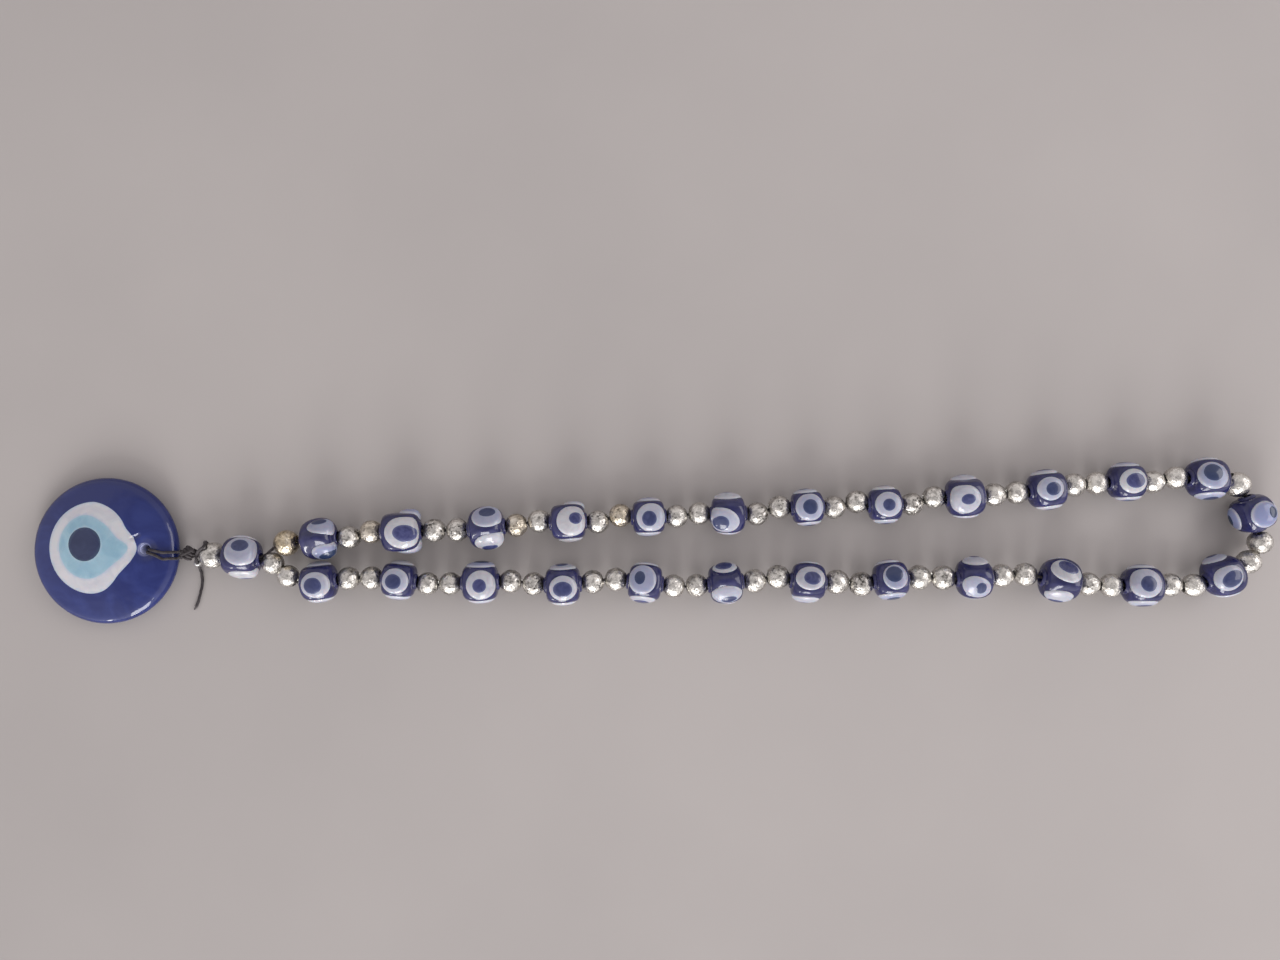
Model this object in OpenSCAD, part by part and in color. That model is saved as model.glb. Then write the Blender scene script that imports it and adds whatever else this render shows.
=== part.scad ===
// Evil eye pendant: a big glass eye disc tied to the end of a closed loop of glass eye beads and
// silver balls, lying flat on its back. Millimetres. +X runs from the disc to the far end of the
// loop, +Z is up, and the origin is on the surface it lies on, under the middle of the whole.

/* [Glass disc] */
// Diameter of the disc
disc_d = 35; // [28:0.5:45]
// Thickness of the disc at its middle
disc_t = 6.3; // [5.2:0.1:8]
// Radius of the rounding round the rim
rim_r = 2.2; // [1.6:0.1:2.4]
// Diameter of the hole for the thread
hole_d = 2.4; // [2:0.1:3]
// From the disc's edge to the middle of the hole
hole_inset = 7; // [6:0.1:9]
// Diameter of the dimple round the hole
dimple_d = 4.6; // [3.4:0.1:5.5]
// Depth of the dimple
dimple_depth = 0.9; // [0.4:0.1:1.2]

/* [Eye in the disc] */
// Reach of the white drop from its middle
white_r = 10.9; // [8:0.1:11.4]
// Reach of the light blue drop from its middle
iris_r = 7.7; // [5.5:0.1:8]
// Diameter of the dark dot
pupil_d = 7.6; // [4:0.1:8]
// Depth of the white drop's pocket under the middle of the disc
white_depth = 2.6; // [2.2:0.1:3.2]
// Depth of the light blue drop's pocket
iris_depth = 1.7; // [1.4:0.1:1.9]
// Depth of the dark dot's pocket
pupil_depth = 0.9; // [0.6:0.1:1.1]
// Gap round each drop
drop_gap = 0.06; // [0.04:0.01:0.15]

/* [Eye beads] */
// Length of a common eye bead along the thread
eye_len = 9; // [8.4:0.1:10]
// Width across the dark body of an eye bead
eye_flat = 8.2; // [7.8:0.1:8.6]
// Diameter over the rounded corners of the body
eye_body_d = 10.4; // [10:0.1:10.8]
// Length of the body between its end collars
eye_body_len = 8.1; // [7.6:0.1:8.2]
// Diameter of a white eye on the bead
eye_white_d = 6.2; // [5:0.1:6.4]
// From the thread to the top of a white eye
eye_rise = 4.95; // [4.8:0.01:5.1]
// Radius of the white eye's dome
eye_dome_r = 6.8; // [6.2:0.1:7.4]
// Diameter of the blue dot on a white eye
eye_dot_d = 3.2; // [2.4:0.1:4]
// How far the blue dot stands above the white
eye_dot_rise = 0.12; // [0.05:0.01:0.3]
// Diameter of the end collars where they leave the body
collar_d = 3.9; // [3.2:0.1:4.6]
// Diameter of the end collars at their ends
collar_end_d = 3.1; // [2.8:0.1:3.4]

/* [Silver balls] */
// Diameter of a silver ball
ball_d = 5.6; // [5.2:0.1:6]
// Length of a silver ball along the thread
ball_len = 4.5; // [4.2:0.1:4.8]

/* [Thread] */
// Diameter of the thread
thread_d = 0.7; // [0.5:0.05:0.9]
// Diameter of the hole through an eye bead
bore_d = 2; // [1.8:0.05:2.2]
// Diameter of the hole through a silver ball
ball_bore_d = 2.4; // [2.2:0.05:2.6]
// Gap between two beads that touch
bead_gap = 0.2; // [0.18:0.01:0.3]
// Bare thread between the two balls of a pair
pair_gap = 0.8; // [0.5:0.05:1.1]
// How far the thread lies under the middle of the eye beads' holes
thread_sag = 0.3; // [0:0.05:0.35]
// How far a ball hangs under the thread
ball_hang = 0.35; // [0:0.05:0.45]
// How far the thread dips between two balls
pair_dip = 0.35; // [0:0.05:0.6]
// Clearance between the thread and the disc
thread_gap = 0.06; // [0.04:0.01:0.15]
// Diameter of the knot
knot_d = 3; // [2.4:0.1:3.4]
// Outer diameter of the crimp bead on the free end
crimp_d = 1.9; // [1.6:0.1:2.2]
// Length of the crimp bead
crimp_len = 1.4; // [1:0.1:1.5]

/* [Hidden] */
$fn = 48;
// How far a cutter runs past what it cuts, and a buried end into what it joins
past = 1;

// Columns of the bead table
SIZE = 0;
ROLL = 1;
BARE = 2;
BALLS = 3;
BALL_SIZE = 4;
BEND = 5;
FIRST_SWAY = 6;
LAST_SWAY = 7;
SLACK = 8;

// One row for each eye bead, in order along the thread: the lead bead, twelve of the upper
// strand, the one at the far end and twelve of the lower strand.
// SIZE: its size as a share of the common one
// ROLL: how far its top eye is turned to the left of the thread's run, in degrees
// BARE: bare thread after it, in thread diameters
// BALLS, BALL_SIZE: how many silver balls follow it, and their size as a share of the common one
// BEND: how far the thread between two balls lies to the left of the route, in ball diameters
// FIRST_SWAY, LAST_SWAY: how far each ball lies to the left, as a share of its play on the thread
// SLACK: bare thread after the balls, in thread diameters
BEADS = [
    [1.02,  22, 6.1, 1, 1.10,  0.00,  0.3,  0.0, 1.3],
    [0.99,  50, 0.0, 2, 0.99,  0.00, -0.6,  0.5, 0.0],
    [1.10,  -4, 0.4, 2, 1.00, -0.06,  0.0,  0.0, 0.0],
    [1.02,  43, 0.0, 2, 0.99,  0.09, -0.2,  0.6, 0.0],
    [1.01,   3, 0.0, 2, 0.99,  0.04, -0.8,  0.8, 0.0],
    [0.95,   1, 0.0, 2, 0.98,  0.04, -0.4,  0.4, 0.0],
    [0.99, -17, 0.1, 2, 0.99,  0.00, -0.7,  0.8, 0.0],
    [0.91,   2, 0.0, 2, 0.98,  0.11, -0.8,  1.0, 0.0],
    [0.93,   3, 0.0, 2, 0.97,  0.04, -0.6,  0.7, 0.0],
    [1.04, -10, 0.3, 2, 0.99, -0.03, -0.1,  0.1, 0.0],
    [0.99,   1, 0.0, 2, 1.00,  0.09,  0.2, -0.1, 0.0],
    [0.95,   1, 0.0, 2, 0.97, -0.08, -0.5,  0.5, 0.1],
    [1.02,  14, 0.9, 1, 1.08,  0.00,  1.0,  0.0, 0.7],
    [0.98,  48, 0.6, 2, 1.00,  0.00,  1.0,  0.1, 0.6],
    [1.01,   8, 0.0, 2, 0.99,  0.23,  0.5, -0.3, 0.0],
    [1.02, -11, 0.0, 2, 1.00,  0.17,  0.0,  0.0, 0.0],
    [1.05, -36, 1.0, 2, 1.00, -0.27, -0.1,  0.0, 0.0],
    [0.98,  24, 0.2, 2, 1.06, -0.11,  0.0,  0.1, 0.0],
    [0.97, -15, 0.0, 2, 1.05,  0.20,  0.5, -0.6, 0.0],
    [0.99, -21, 0.2, 2, 1.02, -0.20, -0.6,  0.6, 0.0],
    [0.98, -59, 0.0, 2, 0.99,  0.21, -0.1,  0.2, 0.0],
    [0.99, -16, 0.0, 2, 1.00, -0.20, -0.2,  0.1, 0.2],
    [1.01,   4, 0.2, 2, 0.99, -0.06,  0.1, -0.1, 0.1],
    [1.03,   3, 0.4, 2, 0.97,  0.26, -0.1,  0.2, 0.0],
    [0.96,  -3, 0.0, 2, 0.99, -0.12,  0.1, -0.1, 0.0],
    [0.99,   4, 2.2, 2, 0.93,  0.00,  0.2,  0.2, 0.9]
];
// The row of the eye bead at the far end, where the lower strand begins
far_row = 13;

// Where the thread of the loop lies, seen from above, from the lead bead's far end round to it
// again: a few points chosen by hand, at the eye beads and at the bends
ROUTE = [
    [0, 0], [1.6, 1.8], [3.3, 2.6], [9.2, 4.1], [13.9, 4.5], [33.3, 6.5], [53.5, 6.9], [73.3, 8.4],
    [92.1, 9.7], [110.9, 10.2], [129.7, 12.0], [148.3, 12.1], [167.2, 14.6], [186.8, 16.0],
    [206.1, 18.2], [220.2, 19.1], [229.8, 18.7], [234.1, 14.6], [237.4, 5.5], [236.9, 0.5],
    [232.7, -2.9], [223.8, -5.3], [209.0, -6.4], [189.4, -5.2], [169.2, -5.5], [149.5, -5.0],
    [129.7, -5.8], [110.4, -6.1], [91.3, -5.7], [71.6, -7.1], [51.9, -5.4], [32.8, -5.0],
    [13.9, -5.9], [9.3, -6.3], [4.8, -4.3], [4.3, -2.1], [0, 0]
];

// Shape of a drop of glass in the disc: its reach as a share of its radius, every 15 degrees
// from the side of the hole
WHITE_REACH = [
    0.94, 0.91, 0.85, 0.88, 0.92, 0.96, 1, 1, 1, 1, 1, 1,
    1, 1, 1, 1, 1, 1, 0.99, 0.95, 0.87, 0.81, 0.83, 0.90
];
IRIS_REACH = [
    1.12, 0.88, 0.79, 0.78, 0.80, 0.84, 0.92, 0.98, 1, 1, 1, 1,
    1, 1, 1, 1, 1, 0.98, 0.95, 0.90, 0.86, 0.85, 0.90, 1.02
];
// Middles of the drops from the middle of the disc, as shares of the disc's radius
WHITE_AT = [-0.08, 0.05];
IRIS_AT = [-0.097, 0.069];
PUPIL_AT = [-0.183, 0.103];
HOLE_AT = [disc_d / 2 - hole_inset, 0.5];

// Glass disc: the dome meets the rim's rounding dome_turn degrees outside its top
disc_facets = 96;
dome_facets = 240;
disc_r = disc_d / 2;
dome_turn = 20;
rim_low = 0.94;
rim_x = disc_r - rim_r;
rim_z = rim_low * rim_r;
flat_r = rim_x + rim_r * sqrt(1 - rim_low * rim_low);
dome_edge = [rim_x + rim_r * sin(dome_turn), rim_z + rim_r * cos(dome_turn)];
dome_drop = disc_t - dome_edge.y;
dome_r = (dome_edge.x * dome_edge.x + dome_drop * dome_drop) / (2 * dome_drop);

// The disc leans on the thread under its hole, and its far edge stays on the surface
disc_tilt = asin((thread_d + 2 * thread_gap) / (flat_r + HOLE_AT.x - hole_d / 2));

// Links of the loop, each with its row: an eye bead, a silver ball, or a stretch of bare thread
// after the eye bead, between two balls or after the balls
EYE = "eye";
BALL = "ball";
OPEN = "open";
PAIR = "pair";
LOOSE = "loose";
bead_count = len(BEADS);
link_list = [for (row = [0:bead_count - 1]) each concat(
    row > 0 ? [[EYE, row]] : [],
    BEADS[row][BARE] > 0 ? [[OPEN, row]] : [],
    [[BALL, row]],
    BEADS[row][BALLS] > 1 ? [[PAIR, row], [BALL, row]] : [],
    BEADS[row][SLACK] > 0 ? [[LOOSE, row]] : []
)];
link_count = len(link_list);

function eye_length(row) = eye_len * BEADS[row][SIZE];
function ball_length(row) = ball_len * BEADS[row][BALL_SIZE];
function link_length(link) =
    link[0] == EYE ? eye_length(link[1]) + bead_gap
    : link[0] == BALL ? ball_length(link[1]) + bead_gap
    : link[0] == OPEN ? BEADS[link[1]][BARE] * thread_d
    : link[0] == LOOSE ? BEADS[link[1]][SLACK] * thread_d
    : pair_gap;

function sum_to(list, n) = n <= 0 ? 0 : list[n - 1] + sum_to(list, n - 1);
link_lengths = [for (link = link_list) link_length(link)];
joint_runs = [for (j = [0:link_count]) sum_to(link_lengths, j)];
string_len = joint_runs[link_count];

// The route is walked by its own length, then drawn to the length that the beads need
route_steps = [for (i = [0:len(ROUTE) - 2]) norm(ROUTE[i + 1] - ROUTE[i])];
route_runs = [for (i = [0:len(ROUTE) - 1]) sum_to(route_steps, i)];
route_len = route_runs[len(ROUTE) - 1];
fit = string_len / route_len;
function route_leg(run) = max([0, for (i = [0:len(ROUTE) - 2]) if (route_runs[i] <= run) i]);
// A place on the route, moved aside to its left
function route_at(run, aside) =
    let (
        leg = route_leg(run),
        way = (ROUTE[leg + 1] - ROUTE[leg]) / route_steps[leg],
        on_leg = min(run - route_runs[leg], route_steps[leg])
    )
    (ROUTE[leg] + on_leg * way) * fit + aside * [-way.y, way.x];

// The bend of each pair fades out to the middles of the eye beads beside it
eye_links = [for (j = [0:link_count - 1]) if (link_list[j][0] == EYE) j];
eye_runs = concat([0], [for (j = eye_links) (joint_runs[j] + joint_runs[j + 1]) / 2], [string_len]);
function joint_bend(j) =
    let (
        row = link_list[j > 0 ? j - 1 : 0][1],
        share = (joint_runs[j] - eye_runs[row]) / (eye_runs[row + 1] - eye_runs[row])
    )
    BEADS[row][BEND] * ball_d * (1 - abs(2 * share - 1));

// How far an eye bead reaches from its thread, in a direction turned from one of its eyes
function cap_reach(turn, middle, radius, edge) =
    radius * sin(turn) <= edge
    ? middle * cos(turn) + radius
    : (middle + sqrt(radius * radius - edge * edge)) * cos(turn) + edge * sin(turn);
eye_dome_middle = eye_rise - eye_dome_r;
eye_dot_dome_r = eye_dome_r + eye_dot_rise;
function eye_reach(turn) = max(
    cap_reach(turn, eye_dome_middle, eye_dome_r, eye_white_d / 2),
    cap_reach(turn, eye_dome_middle, eye_dot_dome_r, eye_dot_d / 2),
    eye_body_d / 2 * cos(turn) <= eye_flat / 2 ? eye_body_d / 2 : 0
);
function nearest_eye(roll) = abs((roll % 90 + 135) % 90 - 45);
function eye_height(row) = BEADS[row][SIZE] * eye_reach(nearest_eye(BEADS[row][ROLL]));

// How far a ball can lie to the side of the thread in its hole
ball_play = sqrt(pow((ball_bore_d - thread_d) / 2 - thread_gap, 2) - ball_hang * ball_hang);

// Height of the thread at each joint between two links
function row_height(row) = eye_height(row % bead_count) - thread_sag;
function joint_height(j) =
    let (
        before = j > 0 ? link_list[j - 1] : [EYE, 0],
        after = j < link_count ? link_list[j] : [EYE, bead_count]
    )
    before[0] == EYE || before[0] == OPEN ? row_height(before[1])
    : after[0] == EYE || after[0] == LOOSE ? row_height(before[1] + 1)
    : (row_height(before[1]) + row_height(before[1] + 1)) / 2 - pair_dip;
loop_joints = [for (j = [0:link_count])
    let (at = route_at(joint_runs[j] / fit, joint_bend(j))) [at.x, at.y, joint_height(j)]
];

// The lead runs from the loop back to the disc: the lead eye bead, one silver ball and the knot.
// It is turned a little from the X axis, and comes down to the disc by lead_drop at each step.
lead_turn = 2.2;
lead_ball_size = 1.12;
lead_drop = 0.45;
// Bare thread between that ball and the knot, how far the knot lies aside, and its distance from
// the disc's edge
lead_bare = 1.7;
knot_aside = 0.33;
tie_reach = 1.2;
lead_way = [-cos(lead_turn), sin(lead_turn), 0];
lead_eye_run = eye_length(0) + bead_gap;
lead_ball_run = lead_eye_run + ball_len * lead_ball_size + bead_gap;
knot_run = lead_ball_run + lead_bare + knot_d / 2;
lead_joints = [
    [0, 0, row_height(0)],
    lead_eye_run * lead_way + [0, 0, row_height(0)],
    lead_ball_run * lead_way + [0, 0, row_height(0) - lead_drop]
];
lead_ball_at = (lead_joints[1] + lead_joints[2]) / 2 - [0, 0, ball_hang];
knot_at = knot_run * lead_way + [0, knot_aside, row_height(0) - 2 * lead_drop];
disc_at = (knot_run + knot_d / 2 + tie_reach + disc_r) * lead_way;

// The origin is under the middle of the whole
function link_middle(j) = (loop_joints[j] + loop_joints[j + 1]) / 2;
function bead_edge(j) = link_middle(j) + BEADS[link_list[j][1]][SIZE] * eye_body_d / 2 * [1, 1, 1];
x_low = disc_at.x - disc_r;
x_high = max([for (j = eye_links) bead_edge(j).x]);
y_low = disc_at.y - disc_r;
y_high = max([for (j = eye_links) bead_edge(j).y]);
origin = [(x_low + x_high) / 2, (y_low + y_high) / 2, 0];

function bead_name(row) = str("eye_bead_", row < 9 ? "0" : "", row + 1);

cobalt = "#2b3576";
bead_blue = "#27275c";
glass_white = "#dfe1e8";
iris_blue = "#9cc4d8";
pupil_blue = "#20223f";
silver = "#b9b7b2";
thread_black = "#262326";

// Places something that is drawn along X from one joint to the next, at the middle between them
module between(start, end) {
    run = end - start;
    translate((start + end) / 2 - origin)
        rotate([0, -asin(run.z / norm(run)), atan2(run.y, run.x)])
            children();
}

// Points of an outline round a middle, from its reach at every 15 degrees, smoothed between them
function reach_at(reaches, i, t) =
    let (
        n = len(reaches),
        a = reaches[(i + n - 1) % n],
        b = reaches[i % n],
        c = reaches[(i + 1) % n],
        d = reaches[(i + 2) % n]
    )
    b + t * ((c - a) + t * ((2 * a - 5 * b + 4 * c - d) + t * (3 * b - 3 * c + d - a))) / 2;
function drop_outline(reaches, radius, steps = 3) =
    let (turn = 360 / len(reaches))
    [for (i = [0:len(reaches) - 1], k = [0:steps - 1])
        let (
            angle = turn * (i + k / steps),
            reach = radius * reach_at(reaches, i, k / steps)
        )
        reach * [cos(angle), sin(angle)]
    ];

// A tube of thread along its own points, with one ring of corners at each point
thread_sides = 6;
function unit(v) = v / norm(v);
function tube_way(points, i) =
    let (last = len(points) - 1)
    unit(
        (i > 0 ? unit(points[i] - points[i - 1]) : [0, 0, 0])
        + (i < last ? unit(points[i + 1] - points[i]) : [0, 0, 0])
    );
function tube_side(way) =
    abs(way.z) > 0.9 ? unit(cross([0, 1, 0], way)) : unit(cross([0, 0, 1], way));
// Sides are carried along from ring to ring, so that the tube doesn't twist
function carried_sides(ways, i, side) =
    i >= len(ways) ? []
    : let (next = unit(side - (side * ways[i]) * ways[i]))
      concat([next], carried_sides(ways, i + 1, next));

module tube(points, d) {
    n = len(points);
    ways = [for (i = [0:n - 1]) tube_way(points, i)];
    sides = carried_sides(ways, 0, tube_side(ways[0]));
    corners = [for (i = [0:n - 1], k = [0:thread_sides - 1])
        let (angle = 360 / thread_sides * k)
        points[i] + d / 2 * (cos(angle) * sides[i] + sin(angle) * cross(ways[i], sides[i]))
    ];
    walls = [for (i = [0:n - 2], k = [0:thread_sides - 1])
        let (
            here = i * thread_sides,
            beyond = here + thread_sides,
            next = (k + 1) % thread_sides
        )
        [here + k, beyond + k, beyond + next, here + next]
    ];
    near_end = [for (k = [0:thread_sides - 1]) k];
    far_end = [for (k = [thread_sides - 1:-1:0]) (n - 1) * thread_sides + k];
    polyhedron(points = corners, faces = concat([near_end], walls, [far_end]));
}

// The disc, before its eye is let in
module disc_shape() {
    rotate_extrude($fn = disc_facets)
        intersection() {
            square([disc_r, disc_t]);
            union() {
                translate([rim_x, rim_z]) circle(rim_r);
                intersection() {
                    translate([0, disc_t - dome_r]) circle(dome_r, $fn = dome_facets);
                    polygon([
                        [0, 0], [rim_x, 0], [dome_edge.x, rim_z],
                        [dome_edge.x, disc_t], [0, disc_t]
                    ]);
                }
            }
        }
}

// The dimple and the hole, cut from everything that they meet
dimple_r = (dimple_d * dimple_d / 4 + dimple_depth * dimple_depth) / (2 * dimple_depth);
function dome_height(x) = disc_t - dome_r + sqrt(dome_r * dome_r - x * x);
function dimple_height(x) =
    dome_height(norm(HOLE_AT)) - dimple_depth + dimple_r - sqrt(dimple_r * dimple_r - x * x);
module disc_hole() {
    translate(HOLE_AT) {
        translate([0, 0, -past]) cylinder(d = hole_d, h = disc_t + 2 * past);
        translate([0, 0, dimple_height(0) + dimple_r]) sphere(dimple_r);
    }
}

module drop_prism(at, outline, depth) {
    translate([disc_r * at.x, disc_r * at.y, disc_t - depth])
        linear_extrude(depth + past) polygon(outline);
}
module white_prism(gap) {
    drop_prism(WHITE_AT, drop_outline(WHITE_REACH, white_r - gap), white_depth - gap);
}
module iris_prism(gap) {
    drop_prism(IRIS_AT, drop_outline(IRIS_REACH, iris_r - gap), iris_depth - gap);
}
module pupil_cylinder(gap) {
    translate([disc_r * PUPIL_AT.x, disc_r * PUPIL_AT.y, disc_t - pupil_depth + gap])
        cylinder(d = pupil_d - 2 * gap, h = pupil_depth + past);
}

// Everything on the disc shares its place and its lean
module on_disc() {
    translate(disc_at - origin)
        translate([-flat_r, 0, 0])
            rotate([0, -disc_tilt, 0])
                translate([flat_r, 0, 0])
                    children();
}

module glass_disc() {
    color(cobalt)
        on_disc()
            difference() {
                disc_shape();
                white_prism(0);
                disc_hole();
            }
}
module eye_white() {
    color(glass_white)
        on_disc()
            difference() {
                intersection() {
                    disc_shape();
                    white_prism(drop_gap);
                }
                iris_prism(0);
                disc_hole();
            }
}
module eye_iris() {
    color(iris_blue)
        on_disc()
            difference() {
                intersection() {
                    disc_shape();
                    iris_prism(drop_gap);
                }
                pupil_cylinder(0);
            }
}
module eye_pupil() {
    color(pupil_blue)
        on_disc()
            intersection() {
                disc_shape();
                pupil_cylinder(drop_gap);
            }
}

// The tie: each of its strands runs from the knot round the rim, below the disc, up through the
// hole and over the front to the knot again. These points are in the disc's own frame.
tie_off = thread_d / 2 + thread_gap;
// The strands lie side by side in the hole and spread apart on the rim, a little aside of it
rim_aside = -0.6;
rim_spread = 1.1;
knot_spread = 0.7;
// Extra room where a straight leg passes a round edge
edge_room = 0.06;
// The tie meets the knot tie_turn above and below its middle
tie_turn = 18;
tie_end = knot_d / 2 + tie_off + thread_gap;
knot_x = disc_r + tie_reach + knot_d / 2;
knot_low = knot_at.z - (knot_x + flat_r) * sin(disc_tilt);
function on_disc_point(p) = [
    disc_at.x - flat_r + (p.x + flat_r) * cos(disc_tilt) - p.z * sin(disc_tilt),
    disc_at.y + p.y,
    (p.x + flat_r) * sin(disc_tilt) + p.z * cos(disc_tilt)
];
function rim_point(turn, y) =
    let (reach = rim_r + tie_off + edge_room)
    [rim_x + reach * cos(turn), y, rim_z + reach * sin(turn)];
function front_point(x, y, room = 0) = [x, y, dome_height(x) + tie_off + room];
module tie_strand(side) {
    hole_y = HOLE_AT.y - side * (thread_d + thread_gap) / 2;
    rim_y = HOLE_AT.y + rim_aside - side * rim_spread;
    knot_y = HOLE_AT.y + rim_aside / 3 - side * knot_spread;
    mid_y = (rim_y + hole_y) / 2;
    hole_x = HOLE_AT.x + hole_d / 2 - tie_off - 5 * edge_room;
    lip_x = HOLE_AT.x + dimple_d / 2 + 2 * edge_room;
    lip_z = dimple_height(hole_d / 2);
    slope_x = (hole_x + lip_x) / 2;
    slope_y = (hole_y + mid_y) / 2;
    tie_x = knot_x - tie_end * cos(tie_turn);
    tie_rise = tie_end * sin(tie_turn);
    section = concat(
        [[tie_x, knot_y, knot_low - tie_rise]],
        [for (turn = [-8:-23:-77]) rim_point(turn, rim_y)],
        [
            [rim_x - 2 * thread_d, mid_y, -tie_off],
            [hole_x + 0.9 * thread_d, hole_y, -tie_off - edge_room],
            [hole_x + 0.3 * thread_d, hole_y, -0.2 * thread_d],
            [hole_x, hole_y, 0.9 * thread_d],
            [hole_x, hole_y, disc_t / 2],
            [hole_x, hole_y, lip_z - 0.3 * thread_d],
            [hole_x + 0.6 * thread_d, hole_y, lip_z + tie_off],
            [slope_x, slope_y, dimple_height(slope_x - HOLE_AT.x) + tie_off + 4 * edge_room],
            front_point(lip_x - 0.4 * thread_d, mid_y, 2 * edge_room),
            front_point(lip_x + 0.4 * thread_d, mid_y, edge_room),
            front_point(rim_x - 0.6 * thread_d, rim_y, edge_room)
        ],
        [for (turn = [69:-21:27]) rim_point(turn, rim_y)],
        [[tie_x, knot_y, knot_low + tie_rise]]
    );
    tube([for (p = section) on_disc_point(p) - origin], thread_d);
}
module tie_loop() {
    color(thread_black) {
        tie_strand(1);
        tie_strand(-1);
    }
}

// The knot is wound of three turns of thread. These are the place of each along the knot and its
// outer radius, in knot diameters, and so are the radius of the strand and the core's size.
KNOT_TURNS = [[-0.33, 0.43], [0, 0.50], [0.33, 0.43]];
knot_strand = 0.2;
knot_core = [0.2, 0.5];
// The knot lies aslant between the disc and the first ball
knot_lean = 50;
module knot() {
    core = knot_core * knot_d;
    color(thread_black)
        translate(knot_at - origin)
            rotate([0, 90, knot_lean])
                rotate_extrude() {
                    polygon([
                        [0, -core.y], [core.x, -core.y], [core.x, core.y], [0, core.y]
                    ]);
                    for (turn = KNOT_TURNS)
                        translate([turn.y - knot_strand, turn.x] * knot_d) circle(knot_strand * knot_d);
                }
}

// An eye bead: a rounded cube of glass with a collar at each end and an eye on each side
module bead_body() {
    intersection() {
        sphere(d = eye_body_d);
        cube([eye_body_len, eye_flat, eye_flat], center = true);
    }
}
module bead_collars() {
    collar_len = (eye_len - eye_body_len) / 2 + past;
    for (end = [0, 180])
        rotate([0, 0, end])
            translate([eye_len / 2 - collar_len, 0, 0])
                rotate([0, 90, 0])
                    cylinder(d1 = collar_d, d2 = collar_end_d, h = collar_len);
}
module bead_cap(d, dome) {
    intersection() {
        translate([0, 0, eye_dome_middle]) sphere(dome);
        translate([0, 0, eye_flat / 4]) cylinder(d = d, h = eye_flat / 2);
    }
}
module eye_bead(row) {
    size = BEADS[row][SIZE];
    color(bead_blue)
        difference() {
            scale(size)
                rotate([-BEADS[row][ROLL], 0, 0]) {
                    bead_body();
                    bead_collars();
                    for (side = [0:3])
                        rotate([90 * side, 0, 0]) {
                            color(glass_white) bead_cap(eye_white_d, eye_dome_r);
                            color(pupil_blue) bead_cap(eye_dot_d, eye_dot_dome_r);
                        }
                }
            rotate([0, 90, 0]) cylinder(d = bore_d, h = 2 * eye_len, center = true);
        }
}
module placed_eye_bead(row) {
    raised = [0, 0, thread_sag];
    if (row == 0)
        between(lead_joints[1] + raised, lead_joints[0] + raised) eye_bead(0);
    else
        for (j = eye_links)
            if (link_list[j][1] == row)
                between(loop_joints[j] + raised, loop_joints[j + 1] + raised) eye_bead(row);
}

// A silver ball, a little shorter along the thread than across it
module silver_ball(size) {
    bore_r = ball_bore_d / 2;
    ball_r = size * ball_d / 2;
    half_len = size * ball_len / 2;
    arc_x = (ball_r * ball_r - bore_r * bore_r - half_len * half_len) / (2 * (ball_r - bore_r));
    rotate([0, 90, 0])
        rotate_extrude()
            intersection() {
                translate([arc_x, 0]) circle(ball_r - arc_x);
                translate([bore_r, -half_len - past]) square([ball_r, 2 * (half_len + past)]);
            }
}
// The first ball of a row comes after its eye bead, and the last one before the next eye bead
module silver_beads(first_row, last_row) {
    color(silver)
        for (j = [0:link_count - 1])
            if (link_list[j][0] == BALL && link_list[j][1] >= first_row && link_list[j][1] <= last_row) {
                row = link_list[j][1];
                is_last = link_list[j - 1][0] == PAIR;
                sway = BEADS[row][is_last ? LAST_SWAY : FIRST_SWAY];
                between(loop_joints[j], loop_joints[j + 1])
                    translate([0, sway * ball_play, -ball_hang])
                        silver_ball(BEADS[row][BALL_SIZE]);
            }
}
module silver_beads_upper() {
    silver_beads(0, far_row - 1);
    color(silver)
        between(lead_joints[2], lead_joints[1])
            translate([0, 0, -ball_hang])
                silver_ball(lead_ball_size);
}
module silver_beads_lower() {
    silver_beads(far_row, bead_count - 1);
}

// The thread goes out through the lead beads, round the loop and back beside itself
module thread() {
    apart = [0, thread_d / 2 + thread_gap / 2, 0];
    start = knot_at + [knot_d / 2 + tie_off, 0, thread_d / 3];
    // Past the lead bead it rises over the first ball of the other strand
    bend = [ROUTE[1].x, ROUTE[1].y, row_height(0) + thread_d * 2 / 3];
    points = concat(
        [start + apart, lead_joints[2] + apart, lead_joints[1] + apart, lead_joints[0] + apart, bend],
        [for (j = [1:link_count - 1]) loop_joints[j]],
        [lead_joints[0] - apart, lead_joints[1] - apart, lead_joints[2] - apart, start - apart]
    );
    color(thread_black) tube([for (p = points) p - origin], thread_d);
}

// The free end leaves the knot below the first ball, turns over the ball's shoulder and comes
// down past the knot. These points are in ball radii from that ball's middle.
TAIL_TURN = [
    [-1.20, 0.16, -0.97], [-0.70, 0.64, -0.76], [-0.62, 0.93, -0.40], [-0.54, 1.02, 0.17],
    [-0.30, 0.77, 0.86], [-0.68, 0.47, 0.73], [-1.08, 0.10, 0.32], [-1.16, -0.25, 0.27],
    [-1.30, -0.50, -0.16], [-1.35, -0.53, -0.37], [-1.43, -0.69, -0.84]
];
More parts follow.
